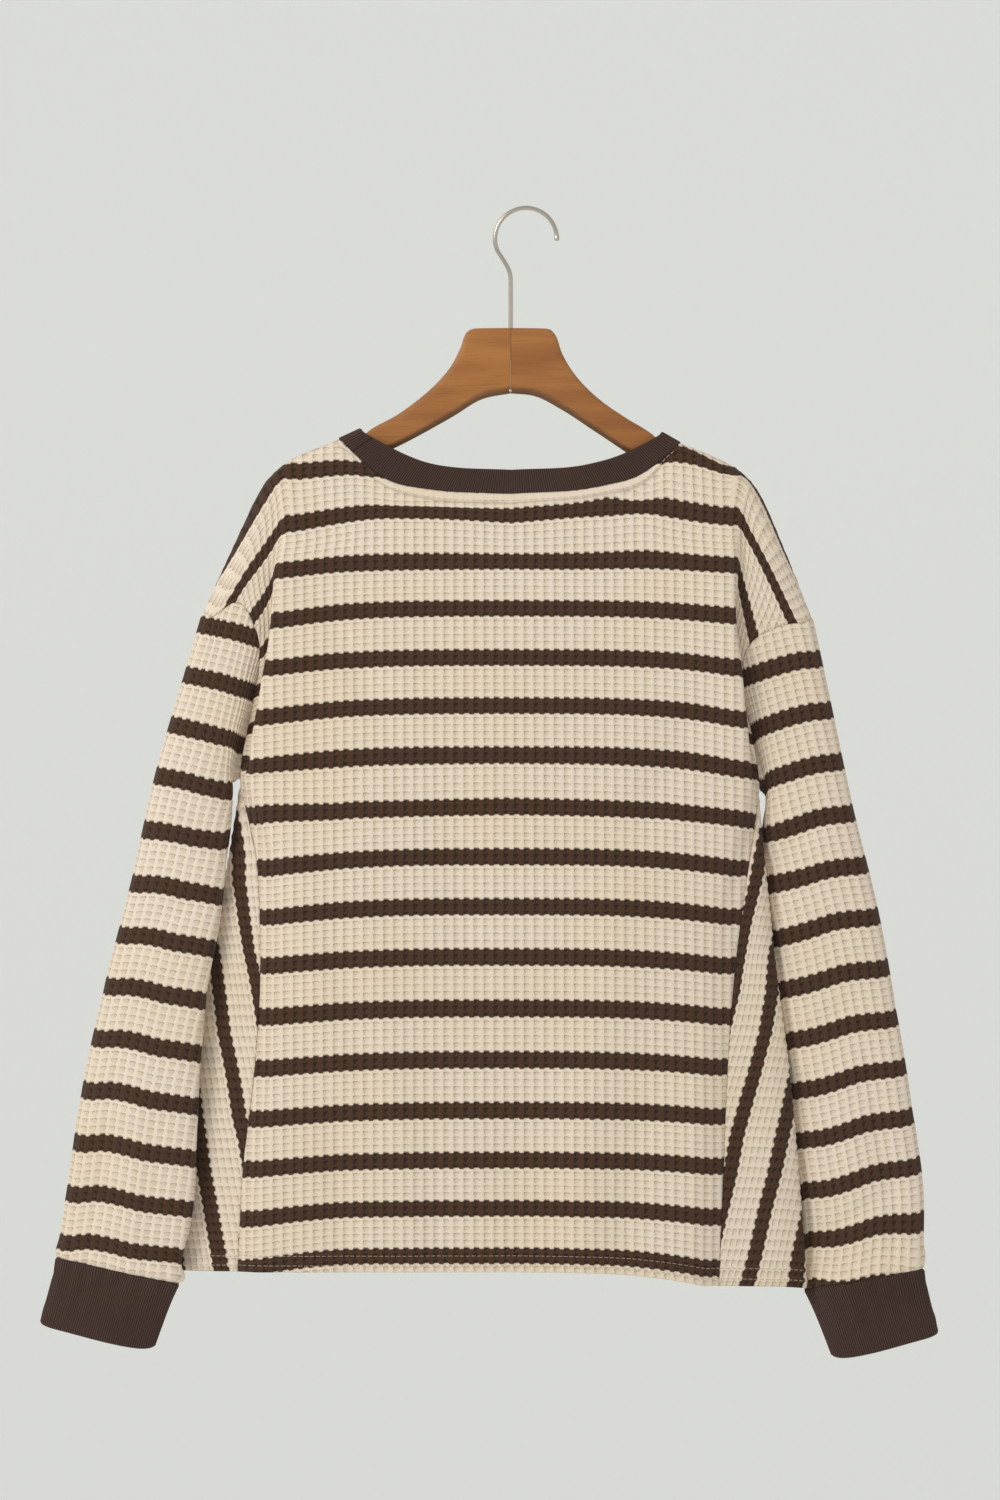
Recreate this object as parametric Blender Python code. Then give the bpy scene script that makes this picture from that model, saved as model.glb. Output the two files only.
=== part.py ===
# Striped waffle-knit sweatshirt on a wooden clothes hanger, as it hangs from its hook.
# Metres, +Z up, +X to the wearer's left as seen from the back, -Y towards the viewer.
# The tables below are in millimetres. The origin is the inner top of the hook.

import math

import bmesh
import bpy
import numpy as np

MM = 0.001

# ---------------------------------------------------------------- driving sizes, mm
KNIT_WALL = 1.8          # waffle knit
RIB_WALL = 2.4           # neckband and cuffs, two layers of rib
SEAM_GAP = 0.3           # left between two pieces along a seam
SEAM_EASE = [            # where several seams meet, the gap is wider
    # x      z     added  reach
    (178.5, -442,  1.3,   15),
    (-219,  -435,  1.3,   15),
    (118.5, -179,  0.5,   8),
    (-143.5, -176, 0.7,   8),
]
CENTRE_X = -11.0         # the garment hangs a little left of the hook's arc

HOOK_RADIUS = 23.7       # centreline of the hook's arc
WIRE_RADIUS = 1.65
STEM_X = -11.7
STEM_DEPTH = 22.0        # stem inside the wood
BORE_ROOM = 0.3          # round the stem
HOOK_NECK = [(-17.2, -38.5), (-14.3, -43.5), (-12.6, -47.5), (-11.7, -53), (-11.7, -60)]
WOOD_HALF_DEPTH = 6.0
WOOD_BEVEL = 2.4
WOOD_TOP = -91.5

# ---------------------------------------------------------------- body, by level
# One row for each level of the cloth, top to hem: flat length below the neck points,
# height on the centre line, depth of the back and of the front there.
LEVELS = [
    # name        flat  height  back  front
    ("ridge",       20,  -218,  -11,    9),
    ("shoulder",    28,  -222,  -11,   10),
    ("yoke",        37,  -227,  -12,   11),
    ("chest 1",     54,  -234,  -13,   12),
    ("chest 2",     92,  -270,  -16,   15),
    ("chest 3",    130,  -306,  -19,   18),
    ("chest 4",    167,  -343,  -22,   20),
    ("chest 5",    205,  -380,  -25,   22),
    ("chest 6",    243,  -418,  -27,   23),
    ("underarm",   265,  -441,  -28,   23),
    ("waist 1",    318,  -495,  -29,   23),
    ("waist 2",    394,  -572,  -30,   23),
    ("waist 3",    469,  -650,  -31,   24),
    ("waist 4",    544,  -726,  -32,   24),
    ("hem",        633,  -812,  -31,   24),
]
CHEST = 3                # index of the first chest level in LEVELS
UNDERARM = 9             # index of the underarm

# Columns of a panel from the centre line out to the seam, and the knots they sit at.
COLUMNS = ["centre", "inner", "collar", "turn", "neck", "near", "fold", "valley", "drop", "edge"]
COLUMN_KNOTS = [0, 68, 104, 122, 130, 147, 171, 190, 210, 232]
SPANS = [3, 2, 2, 1, 1, 3, 2, 3, 2]           # faces between two columns
NECK = COLUMNS.index("neck")
FOLD = COLUMNS.index("fold")

# Distance of the plain columns from the centre line: inner, collar, turn, neck.
PLAIN_RIGHT = (68, 104, 122, 130)
PLAIN_LEFT = (67, 105, 124, 132)

# Neckline and shoulder ridge: x, height of each column. The front neckline is deeper.
RIDGE_RIGHT = [(-11, -218), (57, -212), (93, -200), (115.7, -181.8), (118.5, -179), (147, -191),
               (168, -204), (181, -221), (199, -263), (219, -313)]
RIDGE_LEFT = [(-11, -218), (-78, -214), (-116, -201), (-140.5, -179), (-143.5, -176), (-173, -188),
              (-190, -199), (-203, -214), (-221, -251), (-247, -308)]
RIDGE_DEPTH = (-11, -11, -10, -8.2, 0, 0, 0, 0, 0, 0)
FRONT_NECKLINE = (-262, -252, -228, -183)     # height at centre, inner, collar, turn
FRONT_NECK_DEPTH = (9, 9, 9, 8.4)
FRONT_NECK_BLEND = (0, 0.06, 0.16, 0.35, 0.7)  # from the neckline to the third chest level
FRONT_NECK_SWELL = 9
# The two levels below the ridge: how far below it, inward of it, and how deep, by column.
SHOULDER_DROP = (4, 5, 7, 4, 3, 3, 3, 4, 3, 2)
SHOULDER_IN = (0, 0, 0, 0, 0, 0, 1, 3, 3, 3)
SHOULDER_DEPTH = (-11.5, -11.5, -10.5, -9.2, -8.8, -8.8, -8.8, -7.5, -6, -5)
YOKE_DROP = (9, 11, 15, 19, 16, 13, 13, 13, 8, 4)
YOKE_IN = (0, 0, 0, 0, 0, 0, 3, 7, 8, 7)
YOKE_DEPTH = (-12, -12, -11.5, -11, -11, -11, -11.5, -10.5, -10, -7)

# From the hanger's end to the underarm the cloth folds back at the body's edge, runs into
# a valley and comes out as the dropped shoulder, down to the armhole seam. One row for
# each level from chest 1 to the underarm: x, height and depth of each.
ARMHOLE_RIGHT = [
    # fold x     z    y   valley x  z     y   drop x   z     y    edge x   z     y
    (161,   -236, -13,   171, -250, -10.0,  185, -276, -11,   205,   -317, -8),
    (160,   -273, -17,   163, -282, -10.5,  168, -303, -10,   174,   -330, -8.5),
    (160,   -312, -18,   156, -322, -10.5,  160, -338, -8,    165,   -354, -7.5),
    (164,   -350, -19,   155, -361, -10.5,  160, -371, -7,    168,   -380, -7),
    (168,   -389, -19,   162, -396, -10.5,  166, -401, -7,    174,   -406, -6.5),
    (171,   -428, -18,   168, -429, -10.5,  171.5, -429, -7.5, 177.5, -429, -5.5),
    (173,   -440, -14,   174.5, -441, -10,  176, -441.5, -7,  178.5, -442, -3),
]
ARMHOLE_LEFT = [
    (-184,  -240, -13,  -194, -252, -10.0, -208, -274, -11,  -223,   -301, -8),
    (-190,  -275, -17,  -193, -283,  -10.5, -200, -299, -9,   -208,   -319, -9),
    (-194,  -314, -18,  -193, -322,  -9.5, -198, -332, -7,   -204,   -340, -7),
    (-199,  -350, -19,  -197, -358,  -8.5, -201, -364, -6,   -208,   -369, -6.5),
    (-206,  -389, -19,  -203, -393,  -9.5, -207, -396, -6.5, -213.5, -398, -6),
    (-211,  -427, -18,  -209, -425, -10.5, -212.5, -424, -7.5, -218, -422, -5.5),
    (-213,  -436, -14,  -215, -436, -10,  -216.5, -435, -7,  -219,   -435, -3),
]

# Below the underarm the panel ends at the side seam, and a triangular insert goes round
# the body's edge. One row for each level from waist 1 to the hem.
SIDE_RIGHT = [
    # seam x  seam z  back y  front y  tip x  tip z  tip y
    (170,  -504, -13,  12,  183, -505, -5),
    (160,  -579, -16,  14,  191, -581, -5),
    (154,  -656, -18,  15,  201, -658, -6),
    (151,  -731, -20,  16,  208, -734, -6),
    (147,  -823, -20,  16,  215, -826, -5),
]
SIDE_LEFT = [
    (-205, -504, -13,  13, -229, -505, 0),
    (-203, -579, -16,  15, -245, -580, 3),
    (-207, -657, -18,  17, -257, -658, 5),
    (-216, -732, -20,  19, -265, -732, 7),
    (-220, -812, -21,  19, -273, -812, 8),
]
SIDE_TAPER = (10, 6.5, 3)      # fold, valley and drop columns inside the side seam
BACK_TURN, FRONT_TURN = 0.55, 0.5      # slope of those columns towards the body's edge
NEAR_INSET = 13                # near column inside the fold
ROUNDNESS = 4.5                # how far the cloth swells just inside the fold
COLLAR_LIFT = 5                # the first chest level rises between centre and fold
INSERT_OUT, INSERT_IN = 0.8, 0.42      # where the insert turns, from seam to tip
INSERT_START = 0.45            # where the insert's point begins in its first row of faces
FRONT_SHARE = 0.85             # depth of the front's folds against the back's

# ---------------------------------------------------------------- sleeves, by ring
# One row for each ring below the underarm: flat length below the sleeve's top, x, height
# and depth of the outer and of the inner edge, and half the thickness between them.
SLEEVE_RIGHT = [
    # flat  outer x   z    y   inner x   z    y  half
    (147,   250, -459,   0,   182, -477,   7,  15),
    (227,   269, -537,   0,   187, -558,  10,  15),
    (307,   283, -614,  -1,   196, -639,  10,  15),
    (388,   295, -689,  -2,   205, -719,  10,  14),
    (468,   304, -767,  -2,   212, -797,  10,  13),
    (503,   303, -811,  -3,   215, -827,   8,  12),
]
SLEEVE_LEFT = [
    (129,  -283, -432,  -2,  -225, -448,  -7,  14),
    (209,  -301, -513,  -4,  -232, -526, -16,  14),
    (290,  -324, -591,  -5,  -245, -607, -21,  14),
    (370,  -341, -669,  -6,  -251, -688, -24,  13),
    (450,  -358, -747,  -6,  -255, -767, -25,  12),
    (510,  -358, -802,  -7,  -268, -820, -21,  11),
]
CAP_SHARE = 0.38               # place of the cap's ring between armhole and first ring
CAP_BULGE = {"right": 0.0, "left": 5.0}
ARMPIT_WAY_OUT = {"right": 7.5, "left": 4.5}   # the cap's ring off the body under the arm
SLEEVE_ROWS = 18
FLATNESS = 0.8                 # below 1 squares the flattened tube's section

# Cuffs: x, height, depth of the outer and inner end of the open edge, half thickness.
CUFF_RIGHT = (315, -863, -3, 236, -882, 4, 11)
CUFF_LEFT = (-371, -855, -7, -285, -873, -18, 11)
CUFF_PINCH = 1.5               # drawn in just below its seam, at this share of its length:
CUFF_WAIST = 0.12
CUFF_PLACES = [0, 0.12, 0.4, 0.7, 1]

# Neckband: x, height, depth of its free edge at each column, back and front.
BAND_RIGHT_BACK = [(-11, -199.5, -10.5), (48, -195, -10.5), (80, -184.5, -9.5),
                   (101.5, -173, -8.6), (103.5, -170.5, 0)]
BAND_LEFT_BACK = [(-11, -199.5, -10.5), (-66, -196, -10.5), (-101, -183.5, -9.5),
                  (-124, -170.5, -8.6), (-126, -168, 0)]
BAND_RIGHT_FRONT = [(-11, -243, 9), (46, -234, 9), (79, -213, 9), (101, -176, 8.6), (103.5, -170.5, 0)]
BAND_LEFT_FRONT = [(-11, -243, 9), (-64, -234, 9), (-100, -213, 9), (-123.5, -174, 8.6),
                   (-126, -168, 0)]
BAND_ROWS = 3

# ---------------------------------------------------------------- hanger, by half
# Outline of each half of the wood from the top of the joint to its end and back, with x
# measured outward from the joint.
WOOD_TOP_RIGHT = [(0, -91.5), (30, -93), (34.5, -96), (38.5, -109), (51.5, -132), (79, -154.5),
                  (110, -173.5), (118, -181), (130, -186.5), (159, -198.5), (176, -210), (181, -217)]
WOOD_LOW_RIGHT = [(182, -223), (178, -227), (154, -216), (111, -199), (65, -170),
                  (39, -153), (18, -142.5), (0, -140.5)]
WOOD_TOP_LEFT = [(0, -91.5), (30, -92.5), (34, -95), (41, -112), (57, -134), (84, -157),
                 (109, -171), (117, -177), (132, -184), (161, -196), (178, -206.5), (184, -214)]
WOOD_LOW_LEFT = [(185, -220), (180, -224), (158, -213), (126, -199), (84, -180),
                 (43, -157.5), (22, -145), (0, -140.5)]

# ---------------------------------------------------------------- colours and finish
KNIT_COLOUR = (0.66, 0.57, 0.44, 1)
RIB_COLOUR = (0.056, 0.033, 0.026, 1)
WOOD_COLOUR = (0.40, 0.18, 0.07, 1)
STEEL_COLOUR = (0.62, 0.60, 0.58, 1)


def material(name, colour, roughness, metallic=0.0):
    made = bpy.data.materials.new(name)
    made.use_nodes = True
    shader = made.node_tree.nodes["Principled BSDF"]
    shader.inputs["Base Color"].default_value = colour
    shader.inputs["Roughness"].default_value = roughness
    shader.inputs["Metallic"].default_value = metallic
    made.diffuse_color = colour
    return made


# ---------------------------------------------------------------- curves and grids
def smooth(knots, values, places):
    """Read a smooth curve through the values at its knots, without any overshoot."""
    knots = np.asarray(knots, float)
    values = np.asarray(values, float)
    step = np.diff(knots)[:, None]
    slope = np.diff(values, axis=0) / step
    tangent = np.empty_like(values)
    tangent[0], tangent[-1] = slope[0], slope[-1]
    before, after = slope[:-1], slope[1:]
    mean = (before * step[1:] + after * step[:-1]) / (step[:-1] + step[1:])
    limit = 3 * np.minimum(np.abs(before), np.abs(after))
    tangent[1:-1] = np.where(before * after > 0, np.clip(mean, -limit, limit), 0)
    places = np.asarray(places, float)
    span = np.clip(np.searchsorted(knots, places, side="right") - 1, 0, len(knots) - 2)
    width = step[span]
    t = ((places - knots[span]) / width[:, 0])[:, None]
    return ((2 * t**3 - 3 * t**2 + 1) * values[span] + (t**3 - 2 * t**2 + t) * width * tangent[span]
            + (3 * t**2 - 2 * t**3) * values[span + 1] + (t**3 - t**2) * width * tangent[span + 1])


def column_places():
    """Knots of all the faces' corners from the centre line to the edge."""
    places = [COLUMN_KNOTS[0]]
    for index, count in enumerate(SPANS):
        low, high = COLUMN_KNOTS[index], COLUMN_KNOTS[index + 1]
        places += [low + (high - low) * (step + 1) / count for step in range(count)]
    return places


def across(row, cornered):
    """Points of one level from its columns, with a corner at the neck if asked."""
    places = column_places()
    if not cornered:
        return smooth(COLUMN_KNOTS, row, places)
    turn = sum(SPANS[:NECK]) + 1
    inner = smooth(COLUMN_KNOTS[:NECK + 1], row[:NECK + 1], places[:turn])
    outer = smooth(COLUMN_KNOTS[NECK:], row[NECK:], places[turn:])
    return np.vstack([inner, outer])


def row_places():
    """Knots of the faces' corners from the top to the hem."""
    flats = [level[1] for level in LEVELS]
    upper = [0, 0.6, 1.3, 2, 2.6, 3.1, 3.7, 4.4, 5.2, 6, 7, 8, 9]
    lower = list(np.linspace(UNDERARM, len(LEVELS) - 1, 12))[1:]
    return np.interp(upper + lower, range(len(LEVELS)), flats)


UPPER_ROWS = 12                # faces from the top to the underarm


def level_row(index, side):
    """The nine columns of one level of the back panel, on one side."""
    sign = 1 if side == "right" else -1
    plain = PLAIN_RIGHT if side == "right" else PLAIN_LEFT
    armhole = ARMHOLE_RIGHT if side == "right" else ARMHOLE_LEFT
    sides = SIDE_RIGHT if side == "right" else SIDE_LEFT
    height, depth = LEVELS[index][2], LEVELS[index][3]
    if index <= UNDERARM:
        values = armhole[index - CHEST]
        outer = [values[start:start + 3] for start in (0, 3, 6, 9)]
        outer = [(x, y, z) for x, z, y in outer]
    else:
        x, z, y = sides[index - UNDERARM - 1][:3]
        outer = [(x - sign * inset, y - inset * BACK_TURN, z) for inset in SIDE_TAPER] + [(x, y, z)]
    fold_x, fold_y, fold_z = outer[0]
    reach = abs(fold_x - CENTRE_X)
    near = reach - NEAR_INSET
    roundness = ROUNDNESS * min((index - CHEST + 1) / 4, 1)
    row = []
    for distance in (0,) + plain + (near,):
        share = distance / reach
        lift = COLLAR_LIFT * math.sin(math.pi * share) ** 2 if index == CHEST else 0
        sag = (fold_z - height) * share**3 + lift
        y = depth + (fold_y - roundness - depth) * share**4
        row.append((CENTRE_X + sign * distance, y, height + sag))
    return row + outer


def back_rows(side):
    """All levels of the back panel on one side: rows of columns of (x, y, z)."""
    sign = 1 if side == "right" else -1
    ridge = RIDGE_RIGHT if side == "right" else RIDGE_LEFT
    top = [(x, y, z) for (x, z), y in zip(ridge, RIDGE_DEPTH)]
    below = [[(x - sign * inward, y, z - drop)
              for (x, z), y, drop, inward in zip(ridge, depths, drops, ins)]
             for depths, drops, ins in ((SHOULDER_DEPTH, SHOULDER_DROP, SHOULDER_IN),
                                        (YOKE_DEPTH, YOKE_DROP, YOKE_IN))]
    return [top] + below + [level_row(index, side) for index in range(CHEST, len(LEVELS))]


def front_rows(side):
    """The front's levels: the back's outline, its own depth and a deeper neckline."""
    rows = np.array(back_rows(side), float)
    front = rows.copy()
    front[:, :, 1] = -rows[:, :, 1] * FRONT_SHARE
    front[0, NECK:] = rows[0, NECK:]
    for index in range(CHEST, len(LEVELS)):
        back, depth = LEVELS[index][3:]
        fold_back, fold = rows[index, FOLD, 1], front[index, FOLD, 1]
        share = (rows[index, :FOLD, 1] - fold_back) / (back - fold_back + 1e-9)
        front[index, :FOLD, 1] = fold + (depth - fold) * np.clip(share, 0, 1.2)
    for offset, values in enumerate(SIDE_RIGHT if side == "right" else SIDE_LEFT):
        index = UNDERARM + 1 + offset
        front[index, FOLD:, 1] = [values[3] + inset * FRONT_TURN for inset in SIDE_TAPER] + [values[3]]
    neckline = np.array(FRONT_NECKLINE)
    low = rows[CHEST + 2, :NECK, 2]
    for index, share in enumerate(FRONT_NECK_BLEND):
        front[index, :NECK, 2] = neckline + (low - neckline) * share
        front[index, :NECK, 1] = np.array(FRONT_NECK_DEPTH) + FRONT_NECK_SWELL * share
    return front


def panel_grid(side_rows):
    """Grid of points from left seam to right seam, top to hem."""
    flats = [level[1] for level in LEVELS]
    halves = []
    for side in ("left", "right"):
        rows = [across(row, index == 0) for index, row in enumerate(side_rows(side))]
        stack = np.array(rows).reshape(len(rows), -1)
        halves.append(smooth(flats, stack, row_places()).reshape(-1, len(rows[0]), 3))
    left, right = halves
    return np.concatenate([left[:, ::-1], right[:, 1:]], axis=1)


def insert_grid(side, back, front):
    """Triangular side insert: from the back's seam round the body's edge to the front's."""
    column = -1 if side == "right" else 0
    sign = 1 if side == "right" else -1
    sides = SIDE_RIGHT if side == "right" else SIDE_LEFT
    flats = [level[1] for level in LEVELS][UNDERARM:]
    start = back[UPPER_ROWS, column]
    tips = [(start[0] - sign * 1.5, 0, start[2])]
    tips += [(x, y, z) for _, _, _, _, x, z, y in sides]
    tips = smooth(flats, tips, row_places()[UPPER_ROWS:])
    rows = []
    for behind, tip, ahead in zip(back[UPPER_ROWS:, column], tips, front[UPPER_ROWS:, column]):
        shoulders = [[seam[0] + (tip[0] - seam[0]) * INSERT_OUT,
                      seam[1] + (tip[1] - seam[1]) * INSERT_IN,
                      (seam[2] + tip[2]) / 2] for seam in (behind, ahead)]
        rows.append(smooth([0, 1, 1.5, 2, 3], [behind, shoulders[0], tip, shoulders[1], ahead],
                           [0, 0.5, 1, 1.25, 1.5, 1.75, 2, 2.5, 3]))
    rows[0] = rows[0] + (rows[1] - rows[0]) * INSERT_START
    return np.array(rows)


def ring_turns(count):
    """Angles of a ring's points: the first and the last lie beside the inner edge."""
    return 2 * math.pi * (np.arange(count) + 0.5) / count


def flat_ring(outer, inner, half, count):
    """Closed flattened ring from its inner edge by the back, the outer edge and the front."""
    outer, inner = np.array(outer, float), np.array(inner, float)
    turn = ring_turns(count)
    along = (1 - np.cos(turn)) / 2
    bulge = np.sign(np.sin(turn)) * np.abs(np.sin(turn)) ** FLATNESS * half
    ring = inner + (outer - inner) * along[:, None]
    ring[:, 1] -= bulge
    return ring


def sleeve_grid(side, back, front):
    """Rings of the sleeve from the armhole seam to the cuff seam."""
    column = -1 if side == "right" else 0
    table = SLEEVE_RIGHT if side == "right" else SLEEVE_LEFT
    rise = back[:UPPER_ROWS + 1, column][::-1]
    fall = front[1:UPPER_ROWS + 1, column]
    armhole = np.vstack([rise, fall])
    count = len(armhole)
    rings = [flat_ring((ox, oy, oz), (ix, iy, iz), half, count)
             for _, ox, oz, oy, ix, iz, iy, half in table]
    turn = ring_turns(count)
    cap = armhole + (rings[0] - armhole) * CAP_SHARE
    cap[:, 1] -= CAP_BULGE[side] * np.sin(turn) * np.abs(np.sin(turn))
    sign = 1 if side == "right" else -1
    cap[:, 0] += sign * ARMPIT_WAY_OUT[side] * np.clip(np.cos(turn), 0, 1) ** 4
    flats = [0, table[0][0] * CAP_SHARE] + [row[0] for row in table]
    stack = np.array([armhole, cap] + rings).reshape(len(flats), -1)
    places = np.concatenate([[0, 12], np.linspace(26, flats[-1], SLEEVE_ROWS - 1)])
    return smooth(flats, stack, places).reshape(-1, count, 3)


def sleeve_halves(sleeve, side):
    """The sleeve's back and front, parted along its outer fold and its seam under the arm."""
    behind = sleeve[:, :UPPER_ROWS + 1]
    ahead = np.concatenate([sleeve[:, UPPER_ROWS:], sleeve[:, :1]], axis=1)
    order = 1 if side == "right" else -1
    return {"back": behind[:, ::order], "front": ahead[:, ::order]}


def cuff_grid(side, sleeve):
    """Rings of the cuff from its seam to its open edge, pinched in just below the seam."""
    ox, oz, oy, ix, iz, iy, half = CUFF_RIGHT if side == "right" else CUFF_LEFT
    top = sleeve[-1]
    count = len(top)
    edge = flat_ring((ox, oy, oz), (ix, iy, iz), half, count)
    middle = top.mean(axis=0)
    waist = top + (edge - top) * CUFF_WAIST
    pull = middle - top
    waist += pull / np.linalg.norm(pull, axis=1)[:, None] * CUFF_PINCH
    stack = np.array([top, waist, edge]).reshape(3, -1)
    return smooth([0, CUFF_WAIST, 1], stack, CUFF_PLACES).reshape(-1, count, 3)


def band_grid(back, front):
    """Rings of the neckband from the neckline up to its free edge."""
    centre = sum(SPANS)
    reach = sum(SPANS[:NECK])
    places = column_places()[:reach + 1]
    knots = COLUMN_KNOTS[:NECK + 1]
    low_back = back[0, centre - reach:centre + reach + 1]
    low_front = front[0, centre - reach:centre + reach + 1][::-1]
    low = np.vstack([low_back, low_front[1:-1]])

    def half(table):
        rows = [(x, y, z) for x, z, y in table]
        return smooth(knots, rows, places)

    high_back = np.vstack([half(BAND_LEFT_BACK)[::-1], half(BAND_RIGHT_BACK)[1:]])
    high_front = np.vstack([half(BAND_RIGHT_FRONT)[::-1], half(BAND_LEFT_FRONT)[1:]])
    high = np.vstack([high_back, high_front[1:-1]])
    return np.array([high + (low - high) * step / BAND_ROWS for step in range(BAND_ROWS + 1)])


# ---------------------------------------------------------------- walls from grids
def grid_normals(grid, closed):
    """Unit normals of a grid of points, whose columns may close on themselves."""
    down = np.gradient(grid, axis=0)
    if closed:
        wide = np.concatenate([grid[:, -1:], grid, grid[:, :1]], axis=1)
        side = (wide[:, 2:] - wide[:, :-2]) / 2
    else:
        side = np.gradient(grid, axis=1)
    normal = np.cross(down, side)
    return normal / np.linalg.norm(normal, axis=2, keepdims=True)


def share_normals(pieces):
    """Where two pieces have the same point, both take the mean of their normals there."""
    meeting = {}
    for piece in pieces:
        for spot, normal in zip(piece["grid"].reshape(-1, 3), piece["normals"].reshape(-1, 3)):
            meeting.setdefault(tuple(np.round(spot, 3)), []).append(normal)
    for piece in pieces:
        flat = piece["normals"].reshape(-1, 3)
        for index, spot in enumerate(piece["grid"].reshape(-1, 3)):
            mean = np.sum(meeting[tuple(np.round(spot, 3))], axis=0)
            flat[index] = mean / np.linalg.norm(mean)


def seam_gap(points):
    """Gap left at points of a seam: wider where several seams meet."""
    gap = np.full((len(points), 1), SEAM_GAP)
    for x, z, added, reach in SEAM_EASE:
        distance = np.hypot(points[:, 0] - x, points[:, 2] - z)
        gap[:, 0] += added * np.exp(-(distance / reach) ** 2)
    return gap


def drawn_in(grid, normals, edges, closed):
    """Move the seamed edges of a grid in by half the seam's gap."""
    moved = grid.copy()
    for edge in edges:
        line = {"top": (0, slice(None)), "bottom": (-1, slice(None)),
                "left": (slice(None), 0), "right": (slice(None), -1)}[edge]
        inner = {"top": (1, slice(None)), "bottom": (-2, slice(None)),
                 "left": (slice(None), 1), "right": (slice(None), -2)}[edge]
        points = grid[line]
        if closed:
            run = np.roll(points, -1, axis=0) - np.roll(points, 1, axis=0)
        else:
            run = np.gradient(points, axis=0)
        away = np.cross(normals[line], run)
        away /= np.linalg.norm(away, axis=1, keepdims=True)
        toward = np.sign(np.sum(away * (grid[inner] - points), axis=1, keepdims=True))
        moved[line] += away * toward * seam_gap(points) / 2
    return moved


def wall(name, piece, thickness, finish):
    """Closed solid of even thickness about a grid of points."""
    grid, normals, closed = piece["grid"], piece["normals"], piece["closed"]
    middle = drawn_in(grid, normals, piece["seams"], closed)
    outside = middle + normals * thickness / 2
    inside = middle - normals * thickness / 2
    rows, columns = grid.shape[:2]
    shape = bmesh.new()
    layers = [[[shape.verts.new(point * MM) for point in row] for row in side]
              for side in (outside, inside)]
    wrap = columns if closed else columns - 1
    for row in range(rows - 1):
        for column in range(wrap):
            beside = (column + 1) % columns
            for layer, flip in ((layers[0], False), (layers[1], True)):
                corners = [layer[row][column], layer[row + 1][column],
                           layer[row + 1][beside], layer[row][beside]]
                shape.faces.new(corners[::-1] if flip else corners)
    for row, flip in ((0, False), (rows - 1, True)):
        for column in range(wrap):
            beside = (column + 1) % columns
            corners = [layers[0][row][column], layers[0][row][beside],
                       layers[1][row][beside], layers[1][row][column]]
            shape.faces.new(corners[::-1] if flip else corners)
    if not closed:
        for column, flip in ((0, True), (columns - 1, False)):
            for row in range(rows - 1):
                corners = [layers[0][row][column], layers[0][row + 1][column],
                           layers[1][row + 1][column], layers[1][row][column]]
                shape.faces.new(corners if not flip else corners[::-1])
    bmesh.ops.recalc_face_normals(shape, faces=shape.faces)
    return finished(name, shape, finish)


def finished(name, shape, finish):
    """Turn a bmesh into a named object with its material."""
    mesh = bpy.data.meshes.new(name)
    shape.to_mesh(mesh)
    shape.free()
    mesh.materials.append(finish)
    mesh.shade_smooth()
    made = bpy.data.objects.new(name, mesh)
    bpy.context.collection.objects.link(made)
    return made


ALL_EDGES = ("top", "bottom", "left", "right")


def cloth_pieces():
    """The grids of all the cut and sewn pieces, seamed edges named."""
    back, front = panel_grid(back_rows), panel_grid(front_rows)
    pieces = {
        "back_panel": dict(grid=back, seams=("top", "left", "right"), closed=False),
        "front_panel": dict(grid=front[:, ::-1], seams=("top", "left", "right"), closed=False),
        "neckband": dict(grid=band_grid(back, front), seams=("bottom",), closed=True),
    }
    for side in ("left", "right"):
        insert = insert_grid(side, back, front)
        if side == "left":
            insert = insert[:, ::-1]
        pieces["side_insert_" + side] = dict(grid=insert, seams=("top", "left", "right"), closed=False)
        sleeve = sleeve_grid(side, back, front)
        cuff = cuff_grid(side, sleeve)
        if side == "left":
            cuff = cuff[:, ::-1]
        for half, grid in sleeve_halves(sleeve, side).items():
            pieces["sleeve_" + side + "_" + half] = dict(grid=grid, seams=ALL_EDGES, closed=False)
        pieces["cuff_" + side] = dict(grid=cuff, seams=("top",), closed=True)
    for piece in pieces.values():
        piece["normals"] = grid_normals(piece["grid"], piece["closed"])
    share_normals(pieces.values())
    return pieces


# ---------------------------------------------------------------- hanger
def metres(x, y, z):
    return (x * MM, y * MM, z * MM)


def hanger_arm(side, finish):
    """One half of the shaped board, from the joint at the hook to its end."""
    sign = 1 if side == "right" else -1
    top = WOOD_TOP_RIGHT if side == "right" else WOOD_TOP_LEFT
    low = WOOD_LOW_RIGHT if side == "right" else WOOD_LOW_LEFT
    outline = list(top) + list(low)
    shape = bmesh.new()
    for depth in (-WOOD_HALF_DEPTH, WOOD_HALF_DEPTH):
        corners = []
        for x, z in outline:
            away = max(x, SEAM_GAP / 2)
            corners.append(shape.verts.new(metres(STEM_X + sign * away, depth, z)))
        shape.faces.new(corners)
    shape.verts.ensure_lookup_table()
    count = len(outline)
    for index in range(count):
        beside = (index + 1) % count
        shape.faces.new([shape.verts[index], shape.verts[beside],
                         shape.verts[count + beside], shape.verts[count + index]])
    bmesh.ops.recalc_face_normals(shape, faces=shape.faces)
    sharp = [edge for edge in shape.edges
             if edge.calc_face_angle(0) > math.radians(50)
             and min(abs(vert.co.x / MM - STEM_X) for vert in edge.verts) > 1]
    bmesh.ops.bevel(shape, geom=sharp, offset=WOOD_BEVEL * MM, segments=2, profile=0.5,
                    affect="EDGES", clamp_overlap=True)
    made = finished("hanger_arm_" + side, shape, finish)
    made.data.set_sharp_from_angle(angle=math.radians(35))
    drill = bore()
    cut = made.modifiers.new("stem hole", "BOOLEAN")
    cut.operation = "DIFFERENCE"
    cut.object = drill
    return made


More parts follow.
